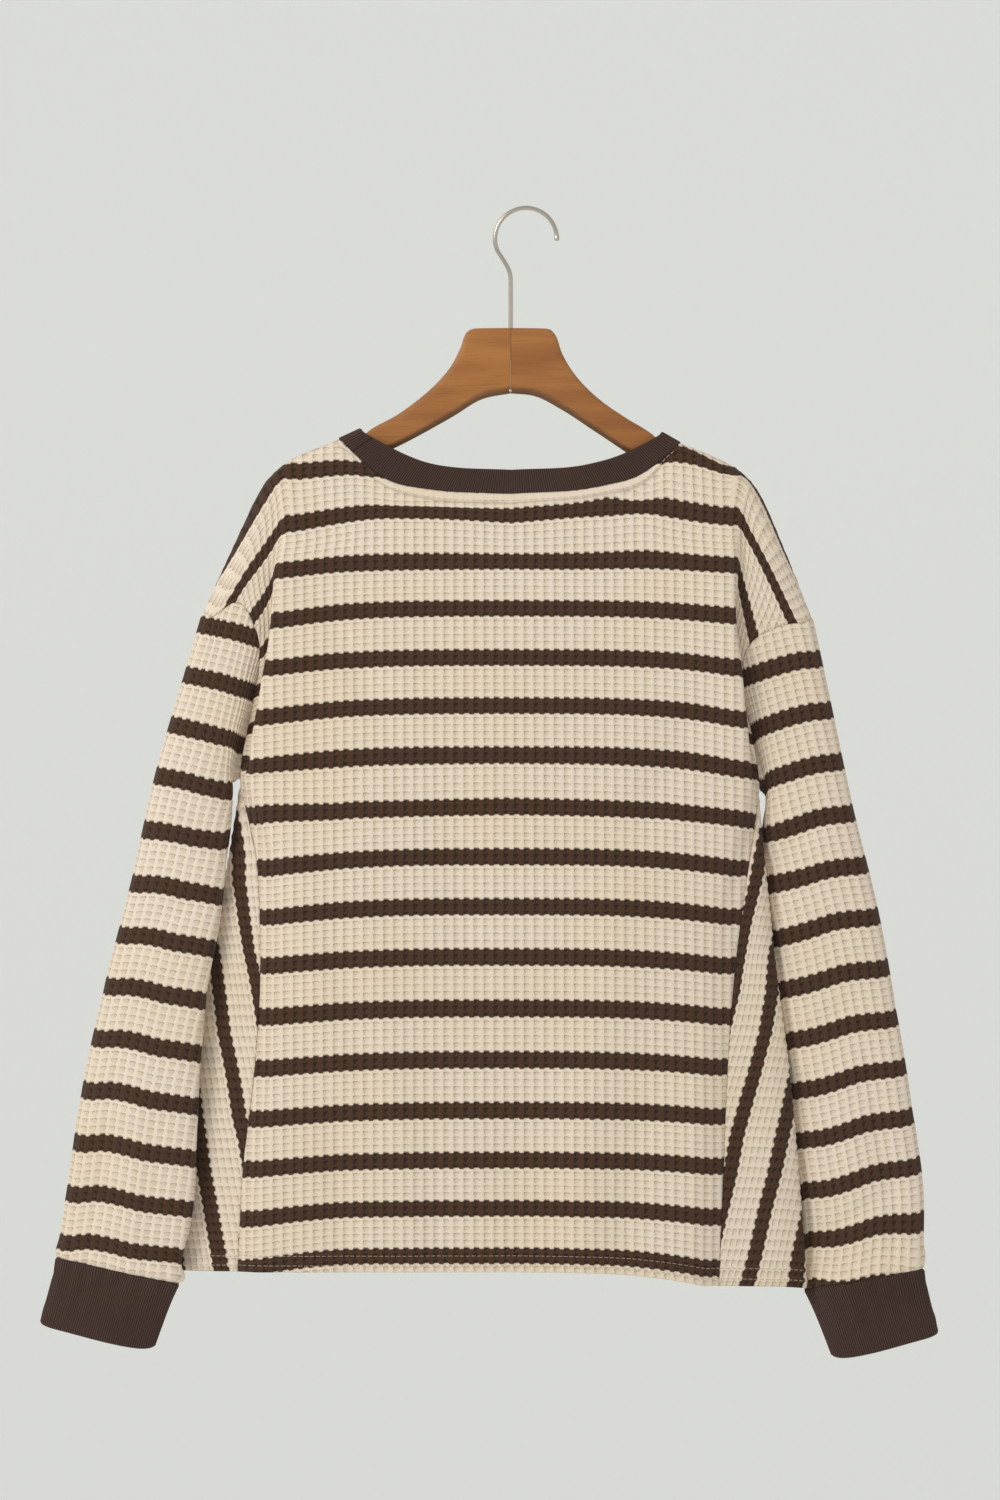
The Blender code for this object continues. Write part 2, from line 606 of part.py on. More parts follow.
def bore():
    """Guide for the hole that the hook's stem stands in, shared by both halves."""
    if "stem_bore" in bpy.data.objects:
        return bpy.data.objects["stem_bore"]
    shape = bmesh.new()
    bmesh.ops.create_cone(shape, cap_ends=True, segments=16, radius1=(WIRE_RADIUS + BORE_ROOM) * MM,
                          radius2=(WIRE_RADIUS + BORE_ROOM) * MM,
                          depth=2 * (STEM_DEPTH + BORE_ROOM) * MM)
    mesh = bpy.data.meshes.new("stem_bore")
    shape.to_mesh(mesh)
    shape.free()
    drill = bpy.data.objects.new("stem_bore", mesh)
    drill.location = metres(STEM_X, 0, WOOD_TOP)
    drill.hide_render = True
    drill.display_type = "WIRE"
    bpy.context.collection.objects.link(drill)
    return drill


def hanger_hook(finish):
    """Bent wire: arc, slanted neck and the stem that stands in the wood."""
    middle = -(HOOK_RADIUS - WIRE_RADIUS)
    points = []
    for degrees in range(0, 216, 12):
        turn = math.radians(degrees)
        points.append((HOOK_RADIUS * math.cos(turn), middle + HOOK_RADIUS * math.sin(turn)))
    points += list(HOOK_NECK) + [(STEM_X, WOOD_TOP - STEM_DEPTH)]
    curve = bpy.data.curves.new("hanger_hook", "CURVE")
    curve.dimensions = "3D"
    curve.bevel_depth = WIRE_RADIUS * MM
    curve.bevel_resolution = 3
    curve.use_fill_caps = True
    line = curve.splines.new("POLY")
    line.points.add(len(points) - 1)
    for point, (x, z) in zip(line.points, points):
        point.co = (x * MM, 0, z * MM, 1)
    curve.materials.append(finish)
    made = bpy.data.objects.new("hanger_hook", curve)
    bpy.context.collection.objects.link(made)
    return made


def main():
    for item in list(bpy.data.objects):
        bpy.data.objects.remove(item, do_unlink=True)
    knit = material("waffle knit", KNIT_COLOUR, 0.9)
    rib = material("rib knit", RIB_COLOUR, 0.88)
    wood = material("varnished wood", WOOD_COLOUR, 0.45)
    steel = material("steel wire", STEEL_COLOUR, 0.3, 1.0)
    for name, piece in cloth_pieces().items():
        ribbed = name.startswith(("cuff", "neckband"))
        wall(name, piece, RIB_WALL if ribbed else KNIT_WALL, rib if ribbed else knit)
    for side in ("left", "right"):
        hanger_arm(side, wood)
    hanger_hook(steel)


main()
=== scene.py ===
# Striped waffle-knit sweatshirt hanging from a wooden hanger, seen from its back.
# Lengths in the tables are millimetres; meshes are made in metres.
import math

import bmesh
import bpy
import numpy as np
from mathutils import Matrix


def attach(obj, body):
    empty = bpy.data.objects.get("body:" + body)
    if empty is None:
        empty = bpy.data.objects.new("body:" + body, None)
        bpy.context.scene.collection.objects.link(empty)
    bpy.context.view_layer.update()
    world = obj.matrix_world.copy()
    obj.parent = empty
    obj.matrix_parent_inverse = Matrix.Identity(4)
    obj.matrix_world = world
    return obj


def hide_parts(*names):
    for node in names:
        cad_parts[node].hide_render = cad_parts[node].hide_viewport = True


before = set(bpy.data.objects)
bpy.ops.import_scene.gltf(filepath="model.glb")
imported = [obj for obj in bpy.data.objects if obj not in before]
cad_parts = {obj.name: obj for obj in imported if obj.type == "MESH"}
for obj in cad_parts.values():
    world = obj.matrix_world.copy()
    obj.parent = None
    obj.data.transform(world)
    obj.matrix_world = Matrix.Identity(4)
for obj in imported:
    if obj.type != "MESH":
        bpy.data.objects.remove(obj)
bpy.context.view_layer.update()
mm = 0.001
mergeGap = 2e-6
signs = {"right": 1, "left": -1}
print("frame loaded")


# ---- curves and surfaces ----
def smooth(knots, values, places):
    # cubic through the values at the knots, its slopes held so that it never overshoots
    knots, values, places = (np.asarray(a, float) for a in (knots, values, places))
    step = np.diff(knots)[:, None]
    slope = np.diff(values, axis=0) / step
    tangent = np.empty_like(values)
    tangent[0], tangent[-1] = slope[0], slope[-1]
    before, after = slope[:-1], slope[1:]
    mean = (before * step[1:] + after * step[:-1]) / (step[:-1] + step[1:])
    limit = 3 * np.minimum(abs(before), abs(after))
    tangent[1:-1] = np.where(before * after > 0, np.clip(mean, -limit, limit), 0)
    span = np.clip(np.searchsorted(knots, places, side="right") - 1, 0, len(knots) - 2)
    width = step[span]
    t = ((places - knots[span]) / width[:, 0])[:, None]
    return ((2 * t**3 - 3 * t**2 + 1) * values[span] + (t**3 - 2 * t**2 + t) * width * tangent[span]
            + (3 * t**2 - 2 * t**3) * values[span + 1] + (t**3 - t**2) * width * tangent[span + 1])


def loft(knots, lines, places):
    # a smooth surface through lines of points, one line at each knot, read at the given places
    lines = np.asarray(lines, float)
    return smooth(knots, lines.reshape(len(lines), -1), places).reshape(len(places), *lines.shape[1:])


def readDown(field, index):
    # value of a field at a fractional row for each column: straight line between its two rows
    low = np.clip(np.floor(index).astype(int), 0, field.shape[0] - 2)
    part = index - low
    column = np.arange(field.shape[1])[None, :]
    if field.ndim == 3:
        part = part[..., None]
    return field[low, column] * (1 - part) + field[low + 1, column] * part


def readAcross(field, index):
    # the same along the rows
    return readDown(field.swapaxes(0, 1), index.T).swapaxes(0, 1)


def unit(vectors):
    return vectors / (np.linalg.norm(vectors, axis=-1, keepdims=True) + 1e-12)


def normalsOf(points, outward):
    # cross product of the two directions of the grid, turned to the given side
    normal = unit(np.cross(np.gradient(points, axis=0), np.gradient(points, axis=1)))
    return normal * np.sign(np.sum(normal * outward))


def surfaceOf(points, outward, u, v):
    # points of a sheet with its normals and its flat sizes across and down
    return dict(points=points, normals=normalsOf(points, outward), u=u, v=v)


def turns(count):
    # equal angles round a whole circle
    return np.linspace(0, 2 * np.pi, count, endpoint=False)


def arcAcross(points):
    # length of each step between two columns, row by row
    return np.linalg.norm(np.diff(points, axis=1), axis=2)


def runningLength(steps, centre):
    # steps added up along each row, counted from the centre column
    length = np.concatenate([np.zeros((len(steps), 1)), np.cumsum(steps, axis=1)], axis=1)
    return length - length[:, centre:centre + 1]


def lengthAlong(line):
    # running length from the first point of a line to each of its points
    return np.concatenate([[0], np.cumsum(np.linalg.norm(np.diff(line, axis=0), axis=1))])


def creased(surface, creases):
    # each crease is a bell across its width and along its length, turned by its angle
    points, u, v = surface["points"], surface["u"], surface["v"]
    move = np.zeros(u.shape)
    for placeU, placeV, length, width, height, degrees in creases:
        away, down = u - placeU, v - placeV
        turn = math.radians(degrees)
        along = away * math.cos(turn) + down * math.sin(turn)
        across = -away * math.sin(turn) + down * math.cos(turn)
        move += height * np.exp(-(along / length) ** 2 - (across / width) ** 2)
    surface["points"] = points + surface["normals"] * move[..., None]
    surface["normals"] = normalsOf(surface["points"], surface["normals"])
    return surface


def laid(surface, uStep, vStep, uCoarse, vCoarse):
    # Regular lines of the flat cloth, read back on to the surface and held at its edges:
    # first down every column to each v line, then along every v line to each u line.
    u, v = surface["u"], surface["v"]

    def lines(low, high, step, coarse):
        first = math.floor(low / step)
        count = math.ceil(high / step) - first
        count += -count % coarse
        return (first + np.arange(count + 1)) * step

    vLines = lines(v.min(), v.max(), vStep, vCoarse)
    uLines = lines(u.min(), u.max(), uStep, uCoarse)
    rows = np.arange(len(v))
    down = np.stack([np.interp(vLines, v[:, s], rows) for s in range(v.shape[1])], axis=1)
    marks = {"pressed": 0 * u, **surface}
    half = {key: readDown(field, down) for key, field in marks.items()}
    half["top"] = np.repeat(v[:1], len(vLines), axis=0)
    half["bottom"] = np.repeat(v[-1:], len(vLines), axis=0)
    columns = np.arange(v.shape[1])
    over = np.stack([np.interp(uLines, half["u"][j], columns) for j in range(len(vLines))])
    cloth = {key: readAcross(field, over) for key, field in half.items()}
    cloth["left"] = half["u"][:, :1]
    cloth["right"] = half["u"][:, -1:]
    cloth["normals"] = unit(cloth["normals"])
    return cloth


def edgeDistance(cloth, edges):
    # how far each point is from the nearest of the named edges, in flat millimetres
    gaps = {"top": cloth["v"] - cloth["top"], "bottom": cloth["bottom"] - cloth["v"],
            "left": cloth["u"] - cloth["left"], "right": cloth["right"] - cloth["u"]}
    return np.min([np.broadcast_to(gaps[edge], cloth["u"].shape) for edge in edges], axis=0)


def quads(index):
    # four-cornered faces between neighbouring lines of a grid of vertex numbers
    corners = [index[:-1, :-1], index[1:, :-1], index[1:, 1:], index[:-1, 1:]]
    return np.stack(corners, axis=2).reshape(-1, 4)


def ringFaces(rings, around):
    # faces round a stack of rings of vertices, with one face over each end
    index = np.arange(rings * around).reshape(rings, around)
    skin = quads(np.concatenate([index, index[:, :1]], axis=1)).tolist()
    return skin + [index[0].tolist(), index[-1][::-1].tolist()]


def clothPiece(name, cloth, relief, pattern, wall, edges, coarse, roll):
    # Outer skin: the surface moved out by half the wall and its relief. Inner skin: every few
    # lines of it moved in by half the wall. Both close on the edges in a quarter circle.
    near = np.clip(edgeDistance(cloth, edges) / roll, 0, 1)
    body = np.sqrt(1 - (1 - near) ** 2) * wall / 2
    points, normals = cloth["points"], cloth["normals"]
    outer = points + normals * (body + relief * near)[..., None]
    thin = (slice(None, None, coarse[0]), slice(None, None, coarse[1]))
    inner = (points - normals * body[..., None])[thin]
    rows, columns = outer.shape[:2]
    lowRows, lowColumns = inner.shape[:2]
    first = np.arange(rows * columns).reshape(rows, columns)
    second = rows * columns + np.arange(lowRows * lowColumns).reshape(lowRows, lowColumns)

    faces = quads(first).tolist() + quads(second)[:, ::-1].tolist()
    rims = [(first[0], second[0], coarse[1]), (first[-1][::-1], second[-1][::-1], coarse[1]),
            (first[::-1, 0], second[::-1, 0], coarse[0]), (first[:, -1], second[:, -1], coarse[0])]
    for fine, low, step in rims:
        for k in range(len(low) - 1):
            faces.append(fine[k * step:(k + 1) * step + 1].tolist()[::-1] + [int(low[k]), int(low[k + 1])])
    where = np.concatenate([outer.reshape(-1, 3), inner.reshape(-1, 3)]) * mm
    flat = np.stack(pattern, axis=2)
    flat = np.concatenate([flat.reshape(-1, 2), flat[thin].reshape(-1, 2)])
    pressed = np.concatenate([cloth["pressed"].ravel(), cloth["pressed"][thin].ravel()])
    return meshPiece(name, where, faces, flat, pressed)


def meshPiece(name, where, faces, flat=None, pressed=None):
    # a mesh object at the origin, its doubled vertices merged and its faces turned outwards
    mesh = bpy.data.meshes.new(name)
    mesh.from_pydata(where.tolist(), [], faces)
    if pressed is not None:
        mesh.attributes.new("pressed", "FLOAT", "POINT").data.foreach_set("value", pressed.astype(np.float32))
    if flat is not None:
        corner = np.empty(len(mesh.loops), np.int32)
        mesh.loops.foreach_get("vertex_index", corner)
        mesh.uv_layers.new(name="cloth").data.foreach_set("uv", flat[corner].astype(np.float32).ravel())
    shape = bmesh.new()
    shape.from_mesh(mesh)
    bmesh.ops.remove_doubles(shape, verts=shape.verts, dist=mergeGap)
    bmesh.ops.recalc_face_normals(shape, faces=shape.faces)
    shape.to_mesh(mesh)
    shape.free()
    mesh.shade_smooth()
    piece = bpy.data.objects.new(name, mesh)
    bpy.context.scene.collection.objects.link(piece)
    return piece


# ---- body panels ----
body = {
    "centre": -11, "chest": 3, "underarm": 9, "neck": 4, "fold": 6,
    "knots": [0, 68, 104, 122, 130, 147, 171, 190, 210, 232],
    "plain": {"right": (68, 104, 122, 130), "left": (67, 105, 124, 132)},
    # flat length, height on the centre line, depth of the back and of the front
    "levels": [(20, -218, -11, 9), (28, -222, -11, 10), (37, -227, -12, 11), (54, -234, -13, 12),
               (92, -270, -16, 15), (130, -306, -19, 18), (167, -343, -22, 20), (205, -380, -25, 22),
               (243, -418, -27, 23), (265, -441, -28, 23), (318, -495, -29, 23), (394, -572, -30, 23),
               (469, -650, -31, 24), (544, -726, -32, 24), (633, -812, -31, 24)],
    "ridge": {"right": [(-11, -218), (57, -212), (93, -200), (115.7, -181.8), (118.5, -179), (147, -191),
                        (168, -204), (181, -221), (199, -263), (219, -313)],
              "left": [(-11, -218), (-78, -214), (-116, -201), (-140.5, -179), (-143.5, -176), (-173, -188),
                       (-190, -199), (-203, -214), (-221, -251), (-247, -308)]},
    "ridgeDepth": (-11, -11, -10, -8.2, 0, 0, 0, 0, 0, 0),
    "necklineFront": (-262, -252, -228, -183), "neckDepthFront": (9, 9, 9, 8.4),
    "neckBlend": (0, 0.06, 0.16, 0.35, 0.7), "neckFlatFront": (82, 77, 53, 8),
    # depth, drop below the ridge and inset of the two levels under it
    "below": [((-11.5, -11.5, -10.5, -9.2, -8.8, -8.8, -8.8, -7.5, -6, -5),
               (4, 5, 7, 4, 3, 3, 3, 4, 3, 2), (0, 0, 0, 4, 0, 0, 1, 3, 3, 3)),
              ((-12, -12, -11.5, -11, -11, -11, -11.5, -10.5, -10, -7),
               (9, 11, 15, 19, 16, 13, 13, 13, 8, 4), (0, 0, 0, 5, 0, 0, 3, 7, 8, 7))],
    # flat length at the ridge and at those two levels, by column
    "upperFlat": {
        "right": [(38, 38, 26, 10, 7.6, 0, 18, 19, 19.5, 26),
                  (42, 43, 32, 14, 10.5, 9, 24, 25, 26, 31), (46, 48, 38, 29, 23, 26, 36, 33, 36, 38)],
        "left": [(38, 33, 17.6, -4, -8, 4.5, 10, 12.5, 16, 26),
                 (42, 38, 26, -1, -5, 7, 15.5, 18, 21.5, 31), (46, 44, 35, 16.5, 10, 17.5, 28, 30, 34, 38)]},
    # fold, valley, drop and edge of the dropped shoulder, each x z y, down to the underarm
    "armhole": {
        "right": [(161, -236, -13, 171, -250, -10, 185, -276, -11, 205, -317, -8),
                  (160, -273, -17, 163, -282, -10.5, 168, -303, -10, 174, -330, -8.5),
                  (160, -312, -18, 156, -322, -10.5, 160, -338, -8, 165, -354, -7.5),
                  (164, -350, -19, 155, -361, -10.5, 160, -371, -7, 168, -380, -7),
                  (168, -389, -19, 162, -396, -10.5, 166, -401, -7, 174, -406, -6.5),
                  (171, -428, -18, 168, -429, -10.5, 171.5, -429, -7.5, 177.5, -429, -5.5),
                  (173, -440, -14, 174.5, -441, -10, 176, -441.5, -7, 178.5, -442, -3)],
        "left": [(-184, -240, -13, -194, -252, -10, -208, -274, -11, -223, -301, -8),
                 (-190, -275, -17, -193, -283, -10.5, -200, -299, -9, -208, -319, -9),
                 (-194, -314, -18, -193, -322, -9.5, -198, -332, -7, -204, -340, -7),
                 (-199, -350, -19, -197, -358, -8.5, -201, -364, -6, -208, -369, -6.5),
                 (-206, -389, -19, -203, -393, -9.5, -207, -396, -6.5, -213.5, -398, -6),
                 (-211, -427, -18, -209, -425, -10.5, -212.5, -424, -7.5, -218, -422, -5.5),
                 (-213, -436, -14, -215, -436, -10, -216.5, -435, -7, -219, -435, -3)]},
    # side seam x z, its depth behind and in front, then the body's edge x z y
    "side": {"right": [(170, -504, -13, 12, 183, -505, -5), (160, -579, -16, 14, 191, -581, -5),
                       (154, -656, -18, 15, 201, -658, -6), (151, -731, -20, 16, 208, -734, -6),
                       (147, -823, -20, 16, 215, -826, -5)],
             "left": [(-205, -504, -13, 13, -229, -505, 0), (-203, -579, -16, 15, -245, -580, 3),
                      (-207, -657, -18, 17, -257, -658, 5), (-216, -732, -20, 19, -265, -732, 7),
                      (-220, -812, -21, 19, -273, -812, 8)]},
    "taper": (10, 6.5, 3), "frontShare": 0.85,
    # at the underarm the outer columns carry less knit above them
    "short": (0, 1.5, 3, 4, 5, 9, 11, 11, 11, 11),
    # rows of knit drawn down off level: across, down, half width, half height, drop
    "drawn": [(-195, 105, 40, 90, 3.0), (180, 210, 30, 60, 2.6), (106, 66, 40, 35, -3.0),
              (-60, 54, 50, 15, 2.0), (-215, 640, 55, 70, 10), (-245, 80, 30, 30, -13)],
    "swell": 4.5, "beforeFold": 13, "chestLift": 5, "taperDepth": 0.55, "neckForward": 9,
}
flats = [level[0] for level in body["levels"]]
rowLines = np.concatenate([np.linspace(20, 54, 40), np.linspace(54, 265, 150)[1:],
                           np.linspace(265, 633, 150)[1:]])
chestRow, frontRow, underarmRow = (int(np.argmin(abs(rowLines - flat))) for flat in (54, 130, 265))
columnLines = np.concatenate([np.linspace(0, 130, 90), np.linspace(130, 232, 130)[1:]])
neckColumn, centreColumn = 89, len(columnLines) - 1
neckReach = slice(centreColumn - neckColumn, centreColumn + neckColumn + 1)


def levelRow(index, side):
    # one level of the back: towards the fold the plain columns drop by the cube of their share of
    # the way and change depth by its fourth power
    sign = signs[side]
    flat, height, depth, _ = body["levels"][index]
    if index <= body["underarm"]:
        values = body["armhole"][side][index - body["chest"]]
        outer = [(values[k], values[k + 2], values[k + 1], flat) for k in (0, 3, 6, 9)]
    else:
        x, z, y = body["side"][side][index - body["underarm"] - 1][:3]
        outer = [(x - sign * inset, y - inset * body["taperDepth"], z, flat) for inset in (*body["taper"], 0)]
    foldX, foldY, foldZ = outer[0][:3]
    reach = abs(foldX - body["centre"])
    swell = body["swell"] * min((index - body["chest"] + 1) / 4, 1)
    short = body["short"] if index == body["underarm"] else [0] * len(body["knots"])
    row = []
    for distance in (0, *body["plain"][side], reach - body["beforeFold"]):
        share = distance / reach
        lift = body["chestLift"] * math.sin(math.pi * share) ** 2 if index == body["chest"] else 0
        row.append((body["centre"] + sign * distance, depth + (foldY - swell - depth) * share**4,
                    height + (foldZ - height) * share**3 + lift, flat))
    return [(*place, flat - less) for (*place, flat), less in zip(row + outer, short)]


def backLevels(side):
    # the ridge over the shoulder, the two levels under it, then every level down to the hem
    sign = signs[side]
    ridge = body["ridge"][side]
    rows = [[(x, y, z, v) for (x, z), y, v in zip(ridge, body["ridgeDepth"], body["upperFlat"][side][0])]]
    for (depths, drops, insets), flatRow in zip(body["below"], body["upperFlat"][side][1:]):
        rows.append([(x - sign * inset, y, z - drop, v)
                     for (x, z), y, drop, inset, v in zip(ridge, depths, drops, insets, flatRow)])
    rows += [levelRow(index, side) for index in range(body["chest"], len(flats))]
    return np.array(rows, float)


def frontLevels(side):
    # the back's levels mirrored in depth, with a lower neckline blended in above the chest
    rows = backLevels(side)
    front = rows.copy()
    neck, fold, chest = body["neck"], body["fold"], body["chest"]
    front[:, :, 1] = -rows[:, :, 1] * body["frontShare"]
    front[0, neck:] = rows[0, neck:]
    for index in range(chest, len(flats)):
        back, depth = body["levels"][index][2:]
        foldBack, foldFront = rows[index, fold, 1], front[index, fold, 1]
        share = (rows[index, :fold, 1] - foldBack) / (back - foldBack + 1e-9)
        front[index, :fold, 1] = foldFront + (depth - foldFront) * np.clip(share, 0, 1.2)
    for offset, values in enumerate(body["side"][side]):
        row = body["underarm"] + 1 + offset
        front[row, fold:, 1] = [values[3] + inset * 0.5 for inset in (*body["taper"], 0)]
    line, flatLine = np.array(body["necklineFront"]), np.array(body["neckFlatFront"])
    low, lowFlat = rows[chest + 2, :neck, 2], flats[chest + 2]
    for index, share in enumerate(body["neckBlend"]):
        front[index, :neck, 2] = line + (low - line) * share
        front[index, :neck, 1] = np.array(body["neckDepthFront"]) + body["neckForward"] * share
        front[index, :neck, 3] = flatLine + (lowFlat - flatLine) * share
    return front


def panelSurface(levelsOf, outward, holdRow):
    # Rows of levels carried across, then down. u is the running length along each row; above
    # holdRow the plain columns keep the widths of that row, so the knit's columns stay upright.
    # v is the flat length down, less a bell of each drawn place.
    halves = []
    for side in ("left", "right"):
        rows = levelsOf(side)
        spread = [smooth(body["knots"], row, columnLines) for row in rows]
        corner = body["neck"]
        parts = ((slice(None, corner + 1), columnLines[:neckColumn + 1]),
                 (slice(corner, None), columnLines[neckColumn + 1:]))
        spread[0] = np.vstack([smooth(body["knots"][part], rows[0][part], lines) for part, lines in parts])
        halves.append(loft(flats, spread, rowLines))
    both = np.concatenate([halves[0][:, ::-1], halves[1][:, 1:]], axis=1)
    points, v = both[:, :, :3], both[:, :, 3]
    steps = arcAcross(points)
    steps[:chestRow] = steps[chestRow]
    plain = slice(neckReach.start, neckReach.stop - 1)
    steps[:holdRow, plain] = steps[holdRow, plain]
    u = runningLength(steps, centreColumn)
    for across, down, width, height, drop in body["drawn"]:
        v = v - drop * np.exp(-((u - across) / width) ** 2 - ((v - down) / height) ** 2)
    return surfaceOf(points, outward, u, v)


backSurface = panelSurface(backLevels, (0, -1, 0), chestRow)
frontSurface = panelSurface(frontLevels, (0, 1, 0), frontRow)
print("panels worked out")

# ---- side inserts: triangles whose knit is turned a quarter ----
insert = {
    # shares of the way from a seam to the body's edge at the corner between, sideways and in depth
    "out": 0.8, "in": 0.42, "firstRow": underarmRow + 3, "tipInset": 1.5, "beyond": 200,
    # height, then how far out from the back seam each lengthwise stripe shows
    "stripes": {"left": [(-464, 11, 41, 72, 103), (-513, 15, 45, 76, 107), (-544, 12, 41, 72, 103),
                         (-566, 9, 35.5, 66, 97), (-593, 2.7, 32, 62, 93), (-629, -5, 26, 57, 88),
                         (-695, -28, 7.6, 40, 71), (-713, -32, 0, 35.5, 66), (-761, -44, -14, 24, 55),
                         (-811, -58, -27, 13.6, 46)],
                "right": [(-464, 9, 38, 68, 98), (-513, 7, 36, 66, 97), (-547, 3.8, 31, 62, 93),
                          (-568, 3, 28, 60, 91), (-599, 0.5, 29.5, 60, 91), (-629, -5, 27.5, 56, 87),
                          (-660, -12, 21, 52, 83), (-684, -18, 15, 48.5, 80), (-708, -23, 9, 44, 76),
                          (-737, -28, 5, 39, 71), (-764, -34, 0, 33, 66), (-799, -40, -7, 27, 60),
                          (-824, -45, -12, 21, 58.7)]},
}


def insertSurface(side):
    # Each row turns from the back seam round the body's edge to the front seam. Behind the edge
    # u is read from where the stripes show, in front of it u is the running length.
    sign = signs[side]
    column = -1 if side == "right" else 0
    below = rowLines[insert["firstRow"]:]
    behind, ahead = (s["points"][insert["firstRow"]:, column] for s in (backSurface, frontSurface))
    start = backSurface["points"][underarmRow, column]
    tips = [(start[0] - sign * insert["tipInset"], 0, start[2])]
    tips += [(x, y, z) for *_, x, z, y in body["side"][side]]
    tips = smooth(flats[body["underarm"]:], tips, below)
    corners = [seam + (tips - seam) * (insert["out"], insert["in"], 0.5) for seam in (behind, ahead)]
    places = np.linspace(0, 3, 121)
    lines = [behind, corners[0], tips, corners[1], ahead]
    points = loft([0, 1, 1.5, 2, 3], lines, places).transpose(1, 0, 2)
    length = runningLength(arcAcross(points), 0)
    table = np.array(insert["stripes"][side], float)[::-1]
    shown = np.stack([np.interp(behind[:, 2], table[:, 0], table[:, k]) for k in range(1, 5)], axis=1)
    reach = sign * (points[:, :, 0] - points[:, :1, 0])
    middle = len(places) // 2
    repeat = stripes["repeat"]
    u = np.empty(length.shape)
    for j in range(len(u)):
        slope = repeat / (shown[j, -1] - shown[j, -2])
        far = np.maximum.accumulate(reach[j, :middle + 1]) + np.arange(middle + 1) * 1e-5
        knots = np.append(shown[j], shown[j, -1] + insert["beyond"])
        marks = np.append(np.arange(4) * repeat, 3 * repeat + insert["beyond"] * slope)
        u[j, :middle + 1] = np.interp(far, knots, marks)
        low = far < shown[j, 0]
        u[j, :middle + 1][low] = (far[low] - shown[j, 0]) * repeat / (shown[j, 1] - shown[j, 0])
        u[j, middle + 1:] = u[j, middle] + length[j, middle + 1:] - length[j, middle]
    v = np.repeat(below[:, None], len(places), axis=1)
    return surfaceOf(points, (sign, 0, 0), u, v)


# ---- sleeves and cuffs ----
sleeve = {
    # flat length, outer edge x z y, inner edge x z y, half the thickness
    "right": [(147, 250, -459, 0, 182, -477, 7, 15), (227, 269, -537, 0, 187, -558, 10, 15),
              (307, 283, -614, -1, 196, -639, 10, 15), (388, 295, -689, -2, 205, -719, 10, 14),
              (468, 304, -767, -2, 212, -797, 10, 13), (503, 303, -811, -3, 215, -827, 8, 12)],
    "left": [(129, -283, -432, -2, -225, -448, -7, 14), (209, -301, -513, -4, -232, -526, -16, 14),
             (290, -321, -591, -5, -245, -607, -21, 14), (370, -338, -669, -6, -251, -688, -24, 13),
             (450, -350, -747, -6, -255, -767, -25, 12), (510, -358, -802, -7, -268, -820, -21, 11)],
    "capShare": 0.38, "capBulge": {"right": 0, "left": 1}, "wayOut": {"right": 7.5, "left": 4.5},
    "flatness": 0.8, "ringCount": 25, "pull": 0.97, "rows": 360, "cuffRows": 60,
    # the ring place on the shoulder, and the body's levels that the places up to it meet
    "shoulder": 12, "meets": (0, 0.6, 1.3, 2, 2.6, 3.1, 3.7, 4.4, 5.2, 6, 7, 8, 9),
    "cuff": {"right": (315, -863, -3, 236, -882, 4, 11), "left": (-371, -855, -7, -285, -873, -18, 11)},
    "pinch": 0.5, "pinchPlace": 0.12, "rounded": 2.6, "waver": 0.6,
    # drop of the knit's rows below the rings at these shares from the inner to the outer edge,
    # high and low on the sleeve
    "share": (0.08, 0.25, 0.42, 0.58, 0.75, 0.92), "high": 0.2, "low": 0.95,
    "drawn": {"right": ((6.4, 3.6, 1.8, 0.5, 1, 2.9), (-6.7, -1.7, -0.5, -1, 1.7, 5.9)),
              "left": ((1.8, 0.5, 0.3, -0.3, 0.3, 1.3), (-3.2, -1, 0.6, -0.2, 0.6, 6.3))},
    "swell": 1.5, "swellInner": {"right": 0, "left": 3}, "swellPlace": 6, "swellReach": 6.5,
    "pleat": 14.5, "pleatHeight": 0.55, "pleatReach": 26, "pleatWander": 31,
}
ringPlaces = np.linspace(-0.5, sleeve["ringCount"] - 0.5, 301)
ringTurn = 2 * np.pi * (ringPlaces + 0.5) / sleeve["ringCount"]


def flatRing(values):
    # ellipse-like ring from its inner edge behind to its outer edge and back in front
    ox, oz, oy, ix, iz, iy, half = values
    outer, inner = np.array((ox, oy, oz), float), np.array((ix, iy, iz), float)
    ring = inner + (outer - inner) * ((1 - np.cos(ringTurn)) / 2)[:, None]
    ring[:, 1] -= np.sign(np.sin(ringTurn)) * abs(np.sin(ringTurn)) ** sleeve["flatness"] * half
    return ring


def armholeRing(side):
    # up the back panel's edge from the underarm, over the shoulder, down the front panel's
    places = np.interp(sleeve["meets"], range(len(flats)), flats)
    behind, ahead = (levels(side)[:, -1, :3] for levels in (backLevels, frontLevels))
    top, end = sleeve["shoulder"], 2 * sleeve["shoulder"]
    knots = np.arange(top + 1)
    up = np.interp(top - np.clip(ringPlaces, 0, top), knots, places)
    down = np.interp(np.clip(ringPlaces, top, end) - top, knots, places)
    ring = np.where((ringPlaces <= top)[:, None], smooth(flats, behind, up), smooth(flats, ahead, down))
    first, last = (smooth(flats, edge, places[-1:])[0] for edge in (behind, ahead))
    gap = (ringPlaces < 0) | (ringPlaces > end)
    part = np.where(ringPlaces < 0, ringPlaces + 1, ringPlaces - end)[:, None]
    ring[gap] = (last + (first - last) * part)[gap]
    return ring


